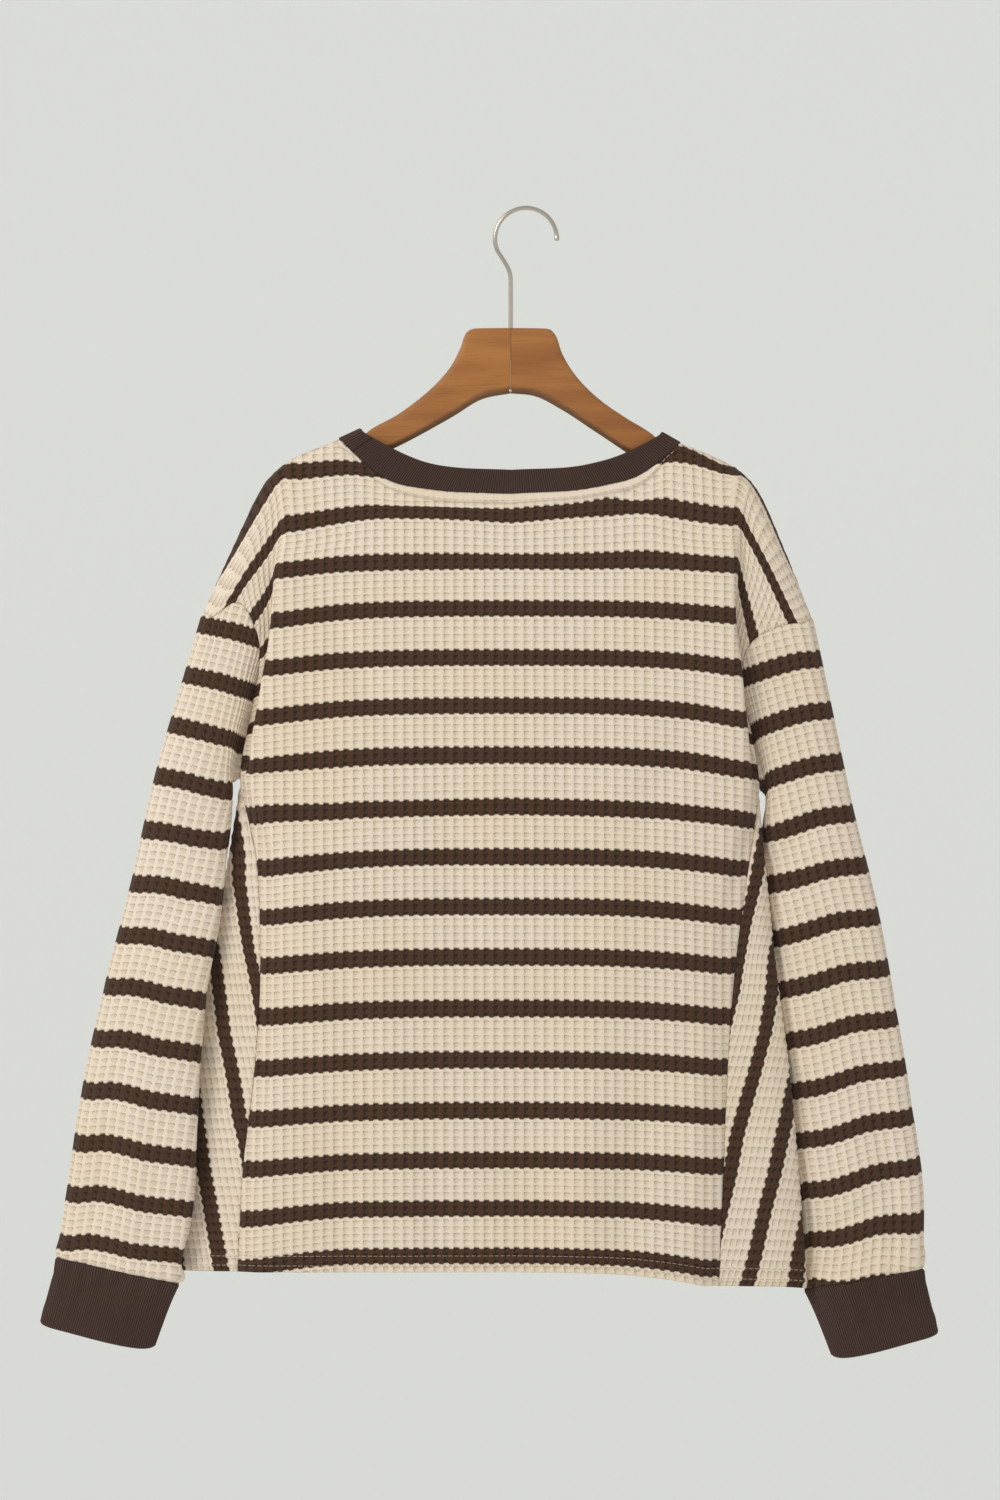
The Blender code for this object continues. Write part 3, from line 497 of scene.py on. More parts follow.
def sleeveSurface(side):
    # Rings from the armhole seam to the cuff seam. v is the flat length down the sleeve, which
    # the armhole seam crosses at a slant, less the drop of its rows; u runs round from the outer fold.
    sign = signs[side]
    table = sleeve[side]
    armhole = armholeRing(side)
    rings = [flatRing(row[1:]) for row in table]
    cap = armhole + (rings[0] - armhole) * sleeve["capShare"]
    cap[:, 1] -= sleeve["capBulge"][side] * np.sin(ringTurn) * abs(np.sin(ringTurn))
    cap[:, 0] += sign * sleeve["wayOut"][side] * np.clip(np.cos(ringTurn), 0, 1) ** 4
    knots = [0, table[0][0] * sleeve["capShare"]] + [row[0] for row in table]
    rows = np.linspace(0, knots[-1], sleeve["rows"])
    points = loft(knots, [armhole, cap, *rings], rows)
    first, ox, oz, _, ix, iz = table[0][:6]
    ringHeight = oz + (armhole[:, 0] - ox) * (oz - iz) / (ox - ix)
    seamFlat = first - sleeve["pull"] * (armhole[:, 2] - ringHeight)
    v = np.where(rows[:, None] < first, seamFlat + (first - seamFlat) * rows[:, None] / first, rows[:, None])
    share = (1 - np.cos(ringTurn)) / 2
    held = np.clip(share, sleeve["share"][0], sleeve["share"][-1])
    drops = np.array(sleeve["drawn"][side], float)
    high, low = smooth(sleeve["share"], drops.T, held).T
    down = np.clip((rows[:, None] / rows[-1] - sleeve["high"]) / (sleeve["low"] - sleeve["high"]), 0, 1)
    v = v - high - (low - high) * down
    middle = points.mean(axis=1, keepdims=True)
    normals = normalsOf(points, points - middle)
    u = runningLength(arcAcross(points), len(ringPlaces) // 2)
    # the knit is gathered on to the cuff: it swells just above the seam, in short soft pleats
    above = rows[-1] - rows[:, None]
    swell = np.exp(-((above - sleeve["swellPlace"]) / sleeve["swellReach"]) ** 2)
    swell = swell * (1 + sleeve["swellInner"][side] * (1 - share) ** 4)
    pleats = np.sin(2 * np.pi * u / sleeve["pleat"] + 2 * np.sin(u / sleeve["pleatWander"]))
    pleats = pleats * np.exp(-above / sleeve["pleatReach"])
    points = points + normals * (sleeve["swell"] * swell + sleeve["pleatHeight"] * pleats)[..., None]
    return surfaceOf(points, points - middle, u, v)


def cuffSurface(side, top):
    # from the sleeve's last ring, drawn in just below the seam, to the open edge
    edge = flatRing(sleeve["cuff"][side])
    edge[:, 2] += sleeve["waver"] * np.sin(3 * ringTurn + 1)
    edge[:, 2] += sleeve["rounded"] * abs(np.cos(ringTurn)) ** 9
    waist = top + (edge - top) * sleeve["pinchPlace"]
    pull = top.mean(axis=0) - top
    waist += pull / np.linalg.norm(pull, axis=1)[:, None] * sleeve["pinch"]
    rows = np.linspace(0, 1, sleeve["cuffRows"])
    return tubeFlat(loft([0, sleeve["pinchPlace"], 1], [top, waist, edge], rows))


def tubeFlat(points):
    # flat sizes of a rib tube: u is the mean length round it, v the mean length down it
    around = arcAcross(points).mean(axis=0)
    down = np.linalg.norm(np.diff(points, axis=0), axis=2).mean(axis=1)
    u, v = np.meshgrid(*(np.concatenate([[0], np.cumsum(steps)]) for steps in (around, down)))
    return surfaceOf(points, points - points.mean(axis=1, keepdims=True), u, v)


# ---- neckband ----
band = {
    # x z y of the free edge from the middle to the neck's corner
    "rightBack": [(-11, -199.5, -10.5), (48, -195, -10.5), (80, -184.5, -9.5), (101.5, -173, -8.6),
                  (103.5, -170.5, 0)],
    "leftBack": [(-11, -199.5, -10.5), (-66, -196, -10.5), (-101, -183.5, -9.5), (-124, -170.5, -8.6),
                 (-126, -168, 0)],
    "rightFront": [(-11, -243, 9), (46, -234, 9), (79, -213, 9), (101, -176, 8.6), (103.5, -170.5, 0)],
    "leftFront": [(-11, -243, 9), (-64, -234, 9), (-100, -213, 9), (-123.5, -174, 8.6), (-126, -168, 0)],
}


def bandSurface():
    # straight from the neckline up to the free edge, round the neck and back to the middle
    places = columnLines[:neckColumn + 1]
    knots = body["knots"][:body["neck"] + 1]
    lowBack, lowFront = (surface["points"][0, neckReach] for surface in (backSurface, frontSurface))
    half = {key: smooth(knots, [(x, y, z) for x, z, y in table], places) for key, table in band.items()}
    highBack = np.vstack([half["leftBack"][::-1], half["rightBack"][1:]])
    highFront = np.vstack([half["rightFront"][::-1], half["leftFront"][1:]])
    low = np.vstack([lowBack, lowFront[::-1][1:]])
    high = np.vstack([highBack, highFront[1:]])
    rows = np.linspace(0, 1, 40)[:, None, None]
    return tubeFlat(low + (high - low) * rows)


# ---- knit ----
stripes = {
    "repeat": 37.7, "rows": 7, "first": 54.3, "sleeveRepeat": 40.2, "sleeveFirst": {"right": 26, "left": 8},
    "cell": 7.65, "fineColumns": 4, "fineRows": 3, "pitDepth": 0.26, "ribHeight": 0.27,
    "wall": 1.8, "roll": 1.6, "tuck": 6.6, "tuckFade": 1.9, "tuckHeight": 0.45,
}
rowHeight = stripes["repeat"] / stripes["rows"]
sleeveRow = stripes["sleeveRepeat"] / stripes["rows"]


def waffle(x, y):
    # a pit in every cell, wide at its top and drawn to the left at its foot, between low ribs
    dx, dy = x % 1 - 0.5, y % 1 - 0.5
    pit = np.exp(-((dx + 0.3 * dy) / (0.25 - 0.12 * dy)) ** 2 - (dy / 0.5) ** 2)
    return stripes["ribHeight"] * np.cos(2 * np.pi * x) - stripes["pitDepth"] * pit


creases = {
    # across, down, half length, half width, height, degrees from level
    "back": [(-120, 170, 70, 11, -2.0, 62), (-40, 330, 130, 22, -2.0, 84), (70, 420, 150, 20, 2.0, 96),
             (120, 250, 70, 16, -2.2, 118), (-90, 500, 130, 18, 2.4, 82), (10, 560, 110, 24, -2.4, 92),
             (95, 560, 110, 16, -2.6, 98), (-150, 400, 100, 14, 2.2, 78), (-130, 570, 80, 14, -2.4, 86),
             (55, 590, 70, 15, 2.2, 90), (150, 400, 90, 14, -2.0, 100), (-60, 600, 60, 13, -1.8, 88)],
    "front": [(-110, 180, 70, 10, -1.5, 65), (30, 360, 130, 22, -1.2, 94), (-60, 470, 120, 20, 1.2, 86),
              (105, 300, 80, 14, -1.4, 112), (120, 520, 90, 18, 1.2, 100)],
    "sleeve": [(-62, 165, 34, 9, -2.2, -35), (-48, 225, 30, 8, -1.6, 28), (-60, 300, 34, 9, -1.8, -24),
               (-40, 385, 30, 9, 1.6, 20), (-58, 455, 32, 8, -2.2, -18), (-36, 480, 26, 7, 1.8, 14),
               (50, 170, 34, 9, -2, 30), (40, 280, 34, 9, -1.8, -26), (50, 400, 34, 9, -2, 22),
               (-30, 420, 90, 8, -2.0, 88), (-58, 440, 70, 9, 1.8, 92), (34, 430, 80, 9, -1.8, 90)],
    "cuff": [(60, 16, 24, 4, -1.1, 28), (38, 34, 20, 4, -0.9, -20), (120, 22, 26, 4, -1.0, 24),
             (84, 40, 16, 5, 0.8, 12)],
}


def knitPiece(name, surface, first=0, rowSize=rowHeight, turned=False):
    # Lines of the flat cloth fall on the cells, so that each pit gets the same few faces. The
    # first stripe's middle lies at the flat length first; turned, the rows run lengthwise.
    cell, wide, tall = stripes["cell"], stripes["fineColumns"], stripes["fineRows"]
    if turned:
        cloth = laid(surface, rowSize / tall, cell / wide, tall, wide)
        pattern = (cloth["v"] / cell, cloth["u"] / rowSize)
        coarse = (wide, tall)
    else:
        moved = dict(surface, v=surface["v"] - first)
        cloth = laid(moved, cell / wide, rowSize / tall, wide, tall)
        pattern = (cloth["u"] / cell, cloth["v"] / rowSize)
        coarse = (tall, wide)
    tuck = cloth["pressed"]
    relief = waffle(pattern[0], pattern[1] + 0.5) * (1 - tuck) + stripes["tuckHeight"] * tuck
    edges = ("top", "bottom", "left", "right")
    return clothPiece(name, cloth, relief, pattern, stripes["wall"], edges, coarse, stripes["roll"])


def tucked(surface):
    # seam allowance stitched down under the neckband: 1 in the strip, fading to 0 below it
    below = surface["v"] - surface["v"][:1]
    share = np.clip((stripes["tuck"] - below) / stripes["tuckFade"] + 0.5, 0, 1)
    share[:, :neckReach.start] = 0
    share[:, neckReach.stop:] = 0
    return dict(surface, pressed=share)


rib = {"wall": 2.4, "roll": 1.8, "width": 1.7, "height": 0.18, "fine": 4, "rows": 28, "coarse": 4,
       "join": 0.55, "joinDepth": 0.4, "neckJoin": (-123, -179)}


def ribPiece(name, surface, join=0):
    # ribs run down the tube; at join the two ends of the strip are sewn together
    around = surface["u"].max()
    step = around / round(around / rib["width"])
    cloth = laid(surface, step / rib["fine"], surface["v"].max() / rib["rows"], rib["fine"], rib["coarse"])
    cloth["pressed"] = np.exp(-((cloth["u"] - join) / rib["join"]) ** 2)
    relief = rib["height"] * np.cos(2 * np.pi * cloth["u"] / step) - rib["joinDepth"] * cloth["pressed"]
    pattern = (cloth["u"] / step, cloth["v"] / step)
    coarse = (rib["coarse"], rib["fine"])
    return clothPiece(name, cloth, relief, pattern, rib["wall"], ("top", "bottom"), coarse, rib["roll"])


pieces, hems = {}, {}
for label, surface in (("back", backSurface), ("front", frontSurface)):
    hems[label.title()] = surface = tucked(creased(surface, creases[label]))
    pieces[label + "_panel"] = knitPiece(label + "Panel", surface, stripes["first"])
print("panels made")
for side in ("left", "right"):
    label = side.title()
    hems[label] = insertSurface(side)
    pieces["side_insert_" + side] = knitPiece("sideInsert" + label, hems[label], turned=True)
    surface = sleeveSurface(side)
    cuff = creased(cuffSurface(side, surface["points"][-1]), creases["cuff"])
    surface = creased(surface, creases["sleeve"])
    pieces["sleeve_" + side] = knitPiece("sleeve" + label, surface, stripes["sleeveFirst"][side], sleeveRow)
    pieces["cuff_" + side] = ribPiece("cuff" + label, cuff)
neckSurface = bandSurface()
# the strip's join lies where the band passes the point neckJoin of the back
nearJoin = np.linalg.norm(neckSurface["points"][:, :, ::2] - rib["neckJoin"], axis=2)
nearJoin[neckSurface["points"][:, :, 1] > 0] = np.inf
joinPlace = np.unravel_index(np.argmin(nearJoin), nearJoin.shape)
pieces["neckband"] = ribPiece("neckRib", neckSurface, neckSurface["u"][joinPlace])
print("sleeves, inserts and ribs made")

# ---- stitches ----
stitch = {"hemRows": (13.2, 5.4), "pitch": 4.4, "length": 3.3, "thick": 0.21, "neckDrop": 5.2, "rise": 0.4,
          "neckSkip": 26, "places": (-1, -0.7, 0, 0.7, 1), "sizes": (0.35, 0.9, 1, 0.9, 0.35), "sides": 6}


def stitchRow(name, surface, drop, fromTop=False, keep=slice(None)):
    # Short threads on the cloth along a line at one flat length from its edge. Each is a six-sided
    # spindle: its circle shrinks to both ends, and it lies along the line with the cloth's normal.
    target = surface["v"][:1] + drop if fromTop else surface["v"][-1:] - drop
    rows = np.arange(len(surface["v"]))
    place = np.array([[np.interp(wanted, flat, rows) for wanted, flat in zip(target[0], surface["v"].T)]])
    line, normal = (readDown(surface[key], place)[0][keep] for key in ("points", "normals"))
    run = lengthAlong(line)
    middle = np.arange(stitch["pitch"] / 2, run[-1] - stitch["length"] / 2, stitch["pitch"])

    def at(field, places):
        return np.stack([np.interp(places, run, field[:, k]) for k in range(3)], axis=1)

    out = unit(at(normal, middle))
    half = (at(line, middle + stitch["length"] / 2) - at(line, middle - stitch["length"] / 2)) / 2
    side = unit(np.cross(half, out))
    along = np.array(stitch["places"])[:, None, None]
    size = np.array(stitch["sizes"])[:, None, None] * stitch["thick"]
    turn = turns(stitch["sides"])[:, None]
    centre = at(line, middle) + out * (stripes["wall"] / 2 + stitch["rise"])
    centre, half, out, side = (field[:, None, None] for field in (centre, half, out, side))
    where = centre + half * along + size * (out * np.cos(turn) + side * np.sin(turn))
    one = ringFaces(len(along), len(turn))
    count = len(along) * len(turn)
    faces = [[corner + count * k for corner in face] for k in range(len(middle)) for face in one]
    return meshPiece(name, where.reshape(-1, 3) * mm, faces)


neckKeep = slice(neckReach.start + stitch["neckSkip"], neckReach.stop - 2)
threads = []
for label, surface in hems.items():
    if label in ("Back", "Front"):
        threads.append(stitchRow("neckStitch" + label, surface, stitch["neckDrop"], True, neckKeep))
    for number, drop in enumerate(stitch["hemRows"]):
        threads.append(stitchRow(f"hemStitch{label}{number}", surface, drop))
print("stitches made")

# ---- hanger ----
hanger = {
    "stem": -11.7, "halfDepth": 6, "stations": 60, "fullWidth": 16, "crown": 0.07, "foot": 0.42,
    "mitreGap": 0.05, "sharp": 40,
    "topSteps": (0, 0.25, 0.8, 1.6, 2.6, 3.8), "lowSteps": (6.5, 5.2, 3.8, 2.2, 0.9, 0),
    "pin": (-11.7, -4.4, -138.6, 1.2), "pinRings": ((1.0, 0.9), (1.0, 0.15), (0.75, -0.15), (0.3, -0.3)),
    # x from the stem and z, along the top edge outwards and along the lower edge back in
    "topRight": [(0, -90.3), (29.5, -91), (33, -94), (39.5, -110), (47, -123), (58, -136), (71.5, -147.8),
                 (88, -159), (110, -173), (118, -180.5), (130, -186.5), (159, -198.5), (176, -210),
                 (181, -217)],
    "lowRight": [(182, -223), (178, -227), (154, -216), (111, -199), (65, -170), (39, -153),
                 (18, -142.5), (0, -140.5)],
    "topLeft": [(0, -90.3), (29, -90.8), (33, -93), (38.5, -105.6), (46, -120), (56, -132), (70.5, -145),
                (87, -157), (109, -169.5), (117, -177), (132, -184), (161, -196), (178, -206.5), (184, -214)],
    "lowLeft": [(185, -220), (180, -224), (158, -213), (126, -199), (84, -180), (43, -157.5),
                (22, -145), (0, -140.5)],
    "hookRadius": 23.7, "wire": 1.65, "knob": 1.22,
    "hookNeck": [(-17.2, -38.5), (-14.3, -43.5), (-12.6, -47.5), (-11.7, -53), (-11.7, -60), (-11.7, -113.5)],
}


def evenly(line, count):
    # a smooth line through the given points, cut into equal steps of their running length
    length = lengthAlong(line)
    return smooth(length, line, np.linspace(0, length[-1], count))


def hangerArm(side):
    # Lofted between the arm's top and lower lines. Across the face the depth rises in a quarter
    # ellipse from the top edge, crowns a little, and falls off in a broad bevel underneath.
    rows = (hanger["top" + side.title()], hanger["low" + side.title()][::-1])
    top, low = (evenly(np.array(row, float), hanger["stations"]) for row in rows)
    reach = np.linalg.norm(low - top, axis=1)[:, None]
    small = np.minimum(1, reach / hanger["fullWidth"])
    near = np.array(hanger["topSteps"])[None] * small / reach
    far = 1 - np.array(hanger["lowSteps"])[None] * small / reach
    between = near[:, -1:] + (far[:, :1] - near[:, -1:]) * np.array((0.25, 0.5, 0.75))
    across = np.concatenate([near, between, far], axis=1)
    fromTop, fromLow = across * reach / small, (1 - across) * reach / small
    over = np.sqrt(1 - (1 - np.clip(fromTop / hanger["topSteps"][-1], 0, 1)) ** 2)
    bevel = np.sin(np.clip(fromLow / hanger["lowSteps"][0], 0, 1) * np.pi / 2)
    under = hanger["foot"] + (1 - hanger["foot"]) * bevel
    depth = hanger["halfDepth"] * over * under * (1 - hanger["crown"] * (2 * across - 1) ** 2)
    flat = top[:, None] + (low - top)[:, None] * across[:, :, None]
    x = hanger["stem"] + signs[side] * np.maximum(flat[:, :, 0], hanger["mitreGap"])
    front = np.stack([x, -depth, flat[:, :, 1]], axis=2)
    back = np.stack([x, depth, flat[:, :, 1]], axis=2)[:, ::-1]
    rings = np.concatenate([front, back[:, :-1]], axis=1)
    piece = meshPiece("hangerArm" + side.title(), rings.reshape(-1, 3) * mm, ringFaces(*rings.shape[:2]))
    piece.data.set_sharp_from_angle(angle=math.radians(hanger["sharp"]))
    return piece


def jointPin():
    # low round head of the pin through the mitre joint
    x, y, z, size = hanger["pin"]
    turn = turns(18)
    where = [(x + size * share * math.cos(a), y + lift, z + size * share * math.sin(a))
             for share, lift in hanger["pinRings"] for a in turn]
    return meshPiece("jointPin", np.array(where) * mm, ringFaces(len(hanger["pinRings"]), len(turn)))


def tubeAlong(name, path, radius, knob, sides=20):
    # Circle carried along a path in the plane y = 0, swelling to a small knob at its first end.
    # Both ends close in a half ball.
    heading = unit(np.gradient(path, axis=0))
    across = np.stack([heading[:, 2], np.zeros(len(path)), -heading[:, 0]], axis=1)
    ends = np.linspace(0, np.pi / 2, 6)[1:]
    middle = [path[0] - heading[0] * radius * math.sin(a) for a in ends[::-1]] + list(path)
    middle += [path[-1] + heading[-1] * radius * math.sin(a) for a in ends]
    swell = radius * (1 + (knob - 1) * np.exp(-(lengthAlong(path) / (1.1 * radius)) ** 2))
    size = [swell[0] * math.cos(a) for a in ends[::-1]] + list(swell) + [radius * math.cos(a) for a in ends]
    across = np.vstack([across[:1]] * len(ends) + [across] + [across[-1:]] * len(ends))
    turn = turns(sides)[:, None]
    ring = np.cos(turn) * across[:, None] + np.sin(turn) * np.array((0, 1, 0))
    where = np.array(middle)[:, None] + ring * np.maximum(np.array(size), 1e-4)[:, None, None]
    return meshPiece(name, where.reshape(-1, 3) * mm, ringFaces(len(middle), sides))


def hookPath():
    # from the free tip round over the crown, then down the neck into the wood
    radius = hanger["hookRadius"]
    middle = -(radius - hanger["wire"])
    turn = np.radians(np.concatenate([np.arange(0, 12, 1), np.arange(12, 205, 4)]))
    arc = np.stack([radius * np.cos(turn), middle + radius * np.sin(turn)], axis=1)
    path = np.vstack([arc[:-1], evenly(np.vstack([arc[-1:], hanger["hookNeck"]]), 50)])
    return np.insert(path, 1, 0, axis=1)


for side in ("left", "right"):
    pieces["hanger_arm_" + side] = hangerArm(side)
pieces["hanger_hook"] = tubeAlong("hangerHook", hookPath(), hanger["wire"], hanger["knob"])
pin = jointPin()
print("hanger made")


# ---- finishes ----
class Wire:
    # a socket of a material, so that sums and products on it add their own maths nodes
    def __init__(self, finish, socket):
        self.finish, self.socket = finish, socket

    def maths(self, operation, *others, first=None, clamp=False):
        inputs = [self if first is None else first, *others]
        return self.finish.node("ShaderNodeMath", inputs, operation=operation, use_clamp=clamp)

    def __add__(self, other):
        return self.maths("ADD", other)

    def __sub__(self, other):
        return self.maths("SUBTRACT", other)

    def __rsub__(self, other):
        return self.maths("SUBTRACT", self, first=other)

    def __mul__(self, other):
        return self.maths("MULTIPLY", other)

    __radd__, __rmul__ = __add__, __mul__

    def clamped(self):
        return self.maths("ADD", 0.0, clamp=True)

    def folded(self, size):
        return self.maths("PINGPONG", size)

    def part(self):
        return self.maths("FRACT")

    def absolute(self):
        return self.maths("ABSOLUTE")

    def rising(self, slope):
        # from 0 to 1 as the value passes nought
        return (self * slope + 0.5).clamped()

    def ridge(self, slope):
        # 1 where the value is nought, falling to 0 on both sides of it
        return (1 - self.absolute() * slope).clamped()


class Finish:
    # one material; every node in it comes from node()
    def __init__(self, name, **fixed):
        self.material = bpy.data.materials.new(name)
        self.material.use_nodes = True
        self.tree = self.material.node_tree
        self.shader = self.tree.nodes["Principled BSDF"]
        for key, value in fixed.items():
            self.shader.inputs[key.replace("_", " ")].default_value = value

    def node(self, kind, inputs=(), output=0, **settings):
        made = self.tree.nodes.new(kind)
        for key, value in settings.items():
            setattr(made, key, value)
        pairs = inputs.items() if isinstance(inputs, dict) else enumerate(inputs)
        for key, value in pairs:
            if isinstance(value, Wire):
                self.tree.links.new(value.socket, made.inputs[key])
            else:
                made.inputs[key].default_value = value
        return Wire(self, made.outputs[output])

    def mix(self, factor, first, second):
        return self.node("ShaderNodeMix", {0: factor, 6: first, 7: second}, output=2, data_type="RGBA")

    def noise(self, vector, scale, detail=2.0, roughness=0.5):
        return self.node("ShaderNodeTexNoise", {"Vector": vector, "Scale": scale, "Detail": detail,
                                                "Roughness": roughness})

    def place(self, scale=(1, 1, 1), rotation=(0, 0, 0)):
        coordinates = self.node("ShaderNodeTexCoord", output="Object")
        return self.node("ShaderNodeMapping", {"Vector": coordinates, "Scale": scale, "Rotation": rotation})

    def split(self, vector):
        # the three numbers of a vector
        sockets = self.node("ShaderNodeSeparateXYZ", [vector]).socket.node.outputs
        return [Wire(self, socket) for socket in sockets]

    def bump(self, height, strength, distance):
        return self.node("ShaderNodeBump", {"Height": height, "Strength": strength, "Distance": distance})

    def feed(self, **links):
        for key, wire in links.items():
            self.tree.links.new(wire.socket, self.shader.inputs[key.replace("_", " ")])
        return self.material


def colour(red, green, blue):
    # a screen colour of 0 to 255 as the linear colour that a shader takes
    parts = [(c / 255 / 12.92) if c / 255 <= 0.04045 else ((c / 255 + 0.055) / 1.055) ** 2.4
             for c in (red, green, blue)]
    return (*parts, 1)


knitLook = {
    # the hollow and rim colours are painted shade in the pits; the strand colours are painted highlight
    "cream": colour(238, 221, 203), "creamWarm": colour(237, 217, 187), "creamHollowShade": colour(219, 200, 175),
    "creamRimShade": colour(134, 110, 80), "creamStrandHighlight": colour(246, 232, 215),
    "brown": colour(74, 51, 37), "brownHollowShade": colour(52, 34, 25), "brownRimShade": colour(22, 13, 9),
    "brownStrandHighlight": colour(104, 79, 63), "halfStripe": 1.16, "step": 0.19, "edge": 7.0,
}


def knitFinish():
    look = knitLook
    made = Finish("waffleKnit", Roughness=0.92, Specular_IOR_Level=0.15, Sheen_Weight=0.08,
                  Sheen_Roughness=0.6)
    x, y, _ = made.split(made.node("ShaderNodeUVMap", uv_map="cloth"))
    pressed = made.node("ShaderNodeAttribute", attribute_name="pressed", output=2)
    # stripes: distance from the nearest stripe's middle in rows; both edges step up at each pit
    dx, dy = x.part() - 0.5, (y + 0.5).part() - 0.5
    ribs = (dx.absolute() - 0.27).rising(7)
    away = (y + (1 - ribs) * look["step"] - look["step"] / 2).folded(3.5)
    stripe = (look["halfStripe"] - away).rising(look["edge"])
    # pits: hollows that narrow downwards; painted shade fills each hollow and is darkest on its rim along the
    # top and at its two corners
    lean = (dx + dy * 0.2).absolute()
    depth = 0.33 - (dy + 0.3).clamped() * 0.42 - lean
    hollow = depth.rising(7) * ((dy + 0.46 - dx * dx) * 7).clamped() * ((0.52 - dy) * 6).clamped()
    arch = (dy + 0.34 - dx * dx * 1.3).ridge(8.5) * ((0.35 - lean) * 9).clamped()
    sides = depth.ridge(12) * ((dy + 0.45) * 8).clamped() * ((0.45 - dy) * 3).clamped()
    rim = (arch * (0.25 + lean * 2.6) + sides * 0.4).clamped()
    # strand: a diagonal beside each pit, given painted highlight below and raised in the bump
    strand = (dx - 0.14 + dy * 0.5).ridge(9) * ((0.45 - dy.absolute()) * 8).clamped()
    shown = 1 - pressed
    there = made.place()
    tone = made.noise(there, 9, 3)
    fuzz = made.noise(there, 1500, 3, 0.7)
    uneven = 0.35 + made.noise(there, 190, 1) * 0.9
    warm = made.mix(((tone - 0.35) * 2.4).clamped(), look["cream"], look["creamWarm"])
    # painted shade in the pits' hollows and darker painted shade on their rims, unevenly
    cream = made.mix(hollow * shown * uneven, warm, look["creamHollowShade"])
    cream = made.mix((rim * shown * uneven).clamped(), cream, look["creamRimShade"])
    # painted highlight along the strand and, more faintly, on the ribs
    cream = made.mix((strand * 0.6 + ribs * 0.15).clamped() * shown, cream, look["creamStrandHighlight"])
    # the same painted shade in the hollows and on the rims of the brown stripes
    brown = made.mix(hollow * 0.8, look["brown"], look["brownHollowShade"])
    brown = made.mix(rim * 0.9, brown, look["brownRimShade"])
    # painted highlight along the strand and on the ribs of the brown stripes
    brown = made.mix((strand * 0.6 + ribs * 0.1).clamped(), brown, look["brownStrandHighlight"])
    knit = made.mix(stripe, cream, brown)
    # painted shade along the crease where the tucked strip ends: the colour darkens by up to 0.3 there; fuzz
    # is a random tone
    tuckCreaseShade = (1 - (pressed * 2 - 1).absolute()).clamped()
    fuzzAndCreaseShade = (0.9 + fuzz * 0.2) * (1 - tuckCreaseShade * 0.3)
    shade = made.node("ShaderNodeHueSaturation", {"Color": knit, "Value": fuzzAndCreaseShade})
    strands = made.node("ShaderNodeTexWave", {"Vector": made.place(), "Scale": 320.0, "Distortion": 3.0,
                                              "Detail": 1.0}, output=1, bands_direction="Z")
    height = 1 - (hollow * 0.5 + rim * 0.6 - strand * 0.4) * shown + ribs * 0.3 + fuzz * 0.35 + strands * 0.2
    return made.feed(Base_Color=shade, Normal=made.bump(height, 0.6, 0.0009))


def ribFinish():
    made = Finish("ribKnit", Roughness=0.93, Specular_IOR_Level=0.15, Sheen_Weight=0.07, Sheen_Roughness=0.5)
    x, y, _ = made.split(made.node("ShaderNodeUVMap", uv_map="cloth"))
    join = made.node("ShaderNodeAttribute", attribute_name="pressed", output=2)
    furrow = x.folded(0.5) * 2
    stitched = y.folded(0.35)
    there = made.place()
    fuzz = made.noise(there, 1300, 3, 0.7)
    tone = made.noise(there, 14, 2)
    base = made.mix(((tone - 0.35) * 2.4).clamped(), colour(86, 65, 58), colour(77, 58, 51))
    # painted shade in the furrows between the ribs
    base = made.mix(((furrow - 0.3) * 1.6).clamped(), base, colour(47, 34, 30))
    base = made.mix(join * 0.75, base, colour(34, 26, 24))
    shade = made.node("ShaderNodeHueSaturation", {"Color": base, "Value": 0.86 + fuzz * 0.28})
    height = 1 - furrow + stitched * 0.6 + fuzz * 0.4
    return made.feed(Base_Color=shade, Normal=made.bump(height, 0.5, 0.0005))


def threadFinish():
    made = Finish("creamThread", Roughness=0.7, Specular_IOR_Level=0.3, Sheen_Weight=0.2)
    twist = made.noise(made.place(), 2500, 2, 0.6)
    base = made.mix(twist, colour(206, 190, 168), colour(178, 160, 136))
    return made.feed(Base_Color=base, Normal=made.bump(twist, 0.3, 0.0001))


def woodFinish(name, degrees):
    # long soft streaks along the arm, finer dark pores, painted shade on the faces turned downwards, a dark
    # line at the mitre
    made = Finish(name, Specular_IOR_Level=0.4, Coat_Weight=0.1, Coat_Roughness=0.4)
    turn = (0, math.radians(degrees), 0)
    streaks = made.noise(made.place((7, 60, 70), turn), 1.0, 3, 0.55)
    pores = made.noise(made.place((40, 500, 700), turn), 1.0, 3, 0.6)
    board = made.mix(((streaks - 0.35) * 2.6).clamped(), colour(174, 114, 56), colour(140, 84, 35))
    grain = made.mix(((pores - 0.55) * 5).clamped() * 0.45, board, colour(98, 56, 24))
    # painted shade: the colour darkens where the surface faces downwards
    facing = made.split(made.node("ShaderNodeNewGeometry", output=1))
    down = (0 - facing[2] * 2.2 - 0.35).clamped()
    grain = made.mix(down * 0.8, grain, colour(84, 60, 36))
    spot = made.split(made.place())
    joint = (spot[0] - hanger["stem"] * mm).ridge(1600)
    grain = made.mix(joint * 0.55, grain, colour(96, 58, 28))
    return made.feed(Base_Color=grain, Roughness=0.4 + pores * 0.16, Normal=made.bump(pores, 0.08, 0.0003))


def steelFinish():
    made = Finish("steelWire", Metallic=1.0, Base_Color=colour(194, 186, 174))
    scuffs = made.noise(made.place((900, 900, 120)), 1.0, 3, 0.6)
    return made.feed(Roughness=0.22 + scuffs * 0.16, Normal=made.bump(scuffs, 0.08, 0.0002))


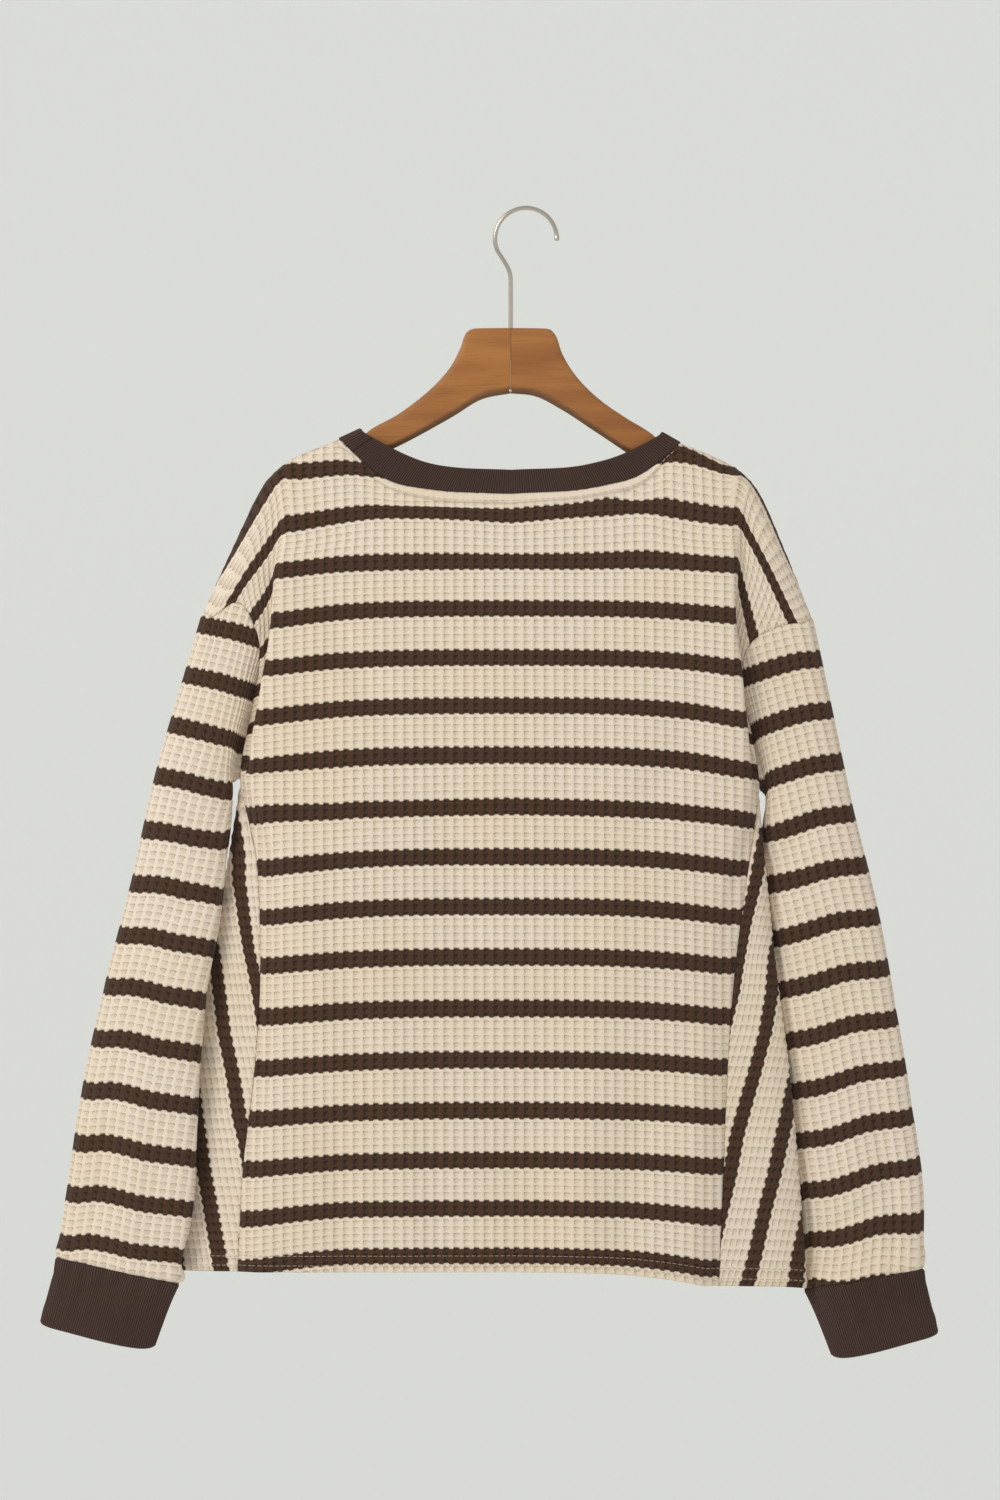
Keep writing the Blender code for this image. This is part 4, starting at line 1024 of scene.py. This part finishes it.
finishes = {"knit": knitFinish(), "rib": ribFinish(), "steel": steelFinish(), "thread": threadFinish(),
            "armLeft": woodFinish("varnishedWoodLeft", -29), "armRight": woodFinish("varnishedWoodRight", 29)}
for node, piece in pieces.items():
    if node.startswith(("cuff", "neck")):
        look = "rib"
    elif node == "hanger_hook":
        look = "steel"
    elif node.startswith("hanger"):
        look = "armLeft" if node.endswith("left") else "armRight"
    else:
        look = "knit"
    piece.data.materials.append(finishes[look])
    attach(piece, "root")
    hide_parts(*([node + "_back", node + "_front"] if node.startswith("sleeve") else [node]))
for piece, look in [(thread, "thread") for thread in threads] + [(pin, "steel")]:
    piece.data.materials.append(finishes[look])
    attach(piece, "root")
print("finishes given")

# ---- stage ----
studio = {
    # the photograph's scale and places; how far the camera stands, and the depth shown at true scale
    "photo": {"pixel": 0.765, "hook": (526, 209), "middle": (500, 750), "tall": 1500},
    "distance": 5200, "plane": 10, "sensor": 36,
    # the sweep and the light, in metres
    "floor": -2.2, "wall": 7.0, "bend": 2.5, "ahead": -9.0, "high": 12.0, "sides": (-14.0, 14.0),
    "world": (0.86, 0.865, 0.855, 1), "worldStrength": 0.64, "paperGlow": 0.11,
}


def sweep():
    # floor that turns up into a far wall in a quarter circle, carried straight across
    wall, bend = studio["wall"], studio["bend"]
    turn = np.linspace(0, np.pi / 2, 24)
    arc = [(wall - bend + bend * math.sin(a), bend - bend * math.cos(a)) for a in turn]
    line = np.array([(studio["ahead"], 0.0), *arc, (wall, studio["high"])])
    count = len(line)
    where = np.stack([np.repeat(studio["sides"], count), np.tile(line[:, 0], 2),
                      np.tile(line[:, 1] + studio["floor"], 2)], axis=1)
    faces = [[k, count + k, count + k + 1, k + 1] for k in range(count - 1)]
    piece = meshPiece("paleSweep", where, faces)
    paper = Finish("palePaper", Roughness=0.95, Base_Color=colour(244, 245, 242),
                   Emission_Color=colour(254, 255, 250), Emission_Strength=studio["paperGlow"])
    piece.data.materials.append(paper.material)


def lamp(name, place, size, power, aim, tint):
    data = bpy.data.lights.new(name, "AREA")
    data.energy, data.size, data.color = power, size, tint
    made = bpy.data.objects.new(name, data)
    made.location = place
    direction = np.array(aim) - np.array(place)
    made.rotation_euler = (math.acos(-direction[2] / np.linalg.norm(direction)), 0,
                           math.atan2(direction[1], direction[0]) - math.pi / 2)
    bpy.context.scene.collection.objects.link(made)


sweep()
lamp("window", (-2.3, -2.2, 1.3), 1.2, 56, (0, 0, -0.45), (1.0, 0.985, 0.965))
lamp("fill", (2.4, -2.8, -0.2), 2.6, 8, (0, 0, -0.45), (0.96, 0.98, 1.0))
world = bpy.data.worlds.new("paleRoom")
world.use_nodes = True
for place, value in enumerate((studio["world"], studio["worldStrength"])):
    world.node_tree.nodes["Background"].inputs[place].default_value = value
bpy.context.scene.world = world
bpy.context.scene.view_settings.view_transform = "Standard"

photo = studio["photo"]
camera = bpy.data.objects.new("camera", bpy.data.cameras.new("camera"))
across, down = (a - b for a, b in zip(photo["middle"], photo["hook"]))
camera.location = (across * photo["pixel"] * mm, -studio["distance"] * mm, -down * photo["pixel"] * mm)
camera.rotation_euler = (math.pi / 2, 0, 0)
camera.data.sensor_width = studio["sensor"]
frameTall = photo["tall"] * photo["pixel"]
camera.data.lens = studio["sensor"] * (studio["distance"] - studio["plane"]) / frameTall
bpy.context.scene.collection.objects.link(camera)
bpy.context.scene.camera = camera
print("stage set")
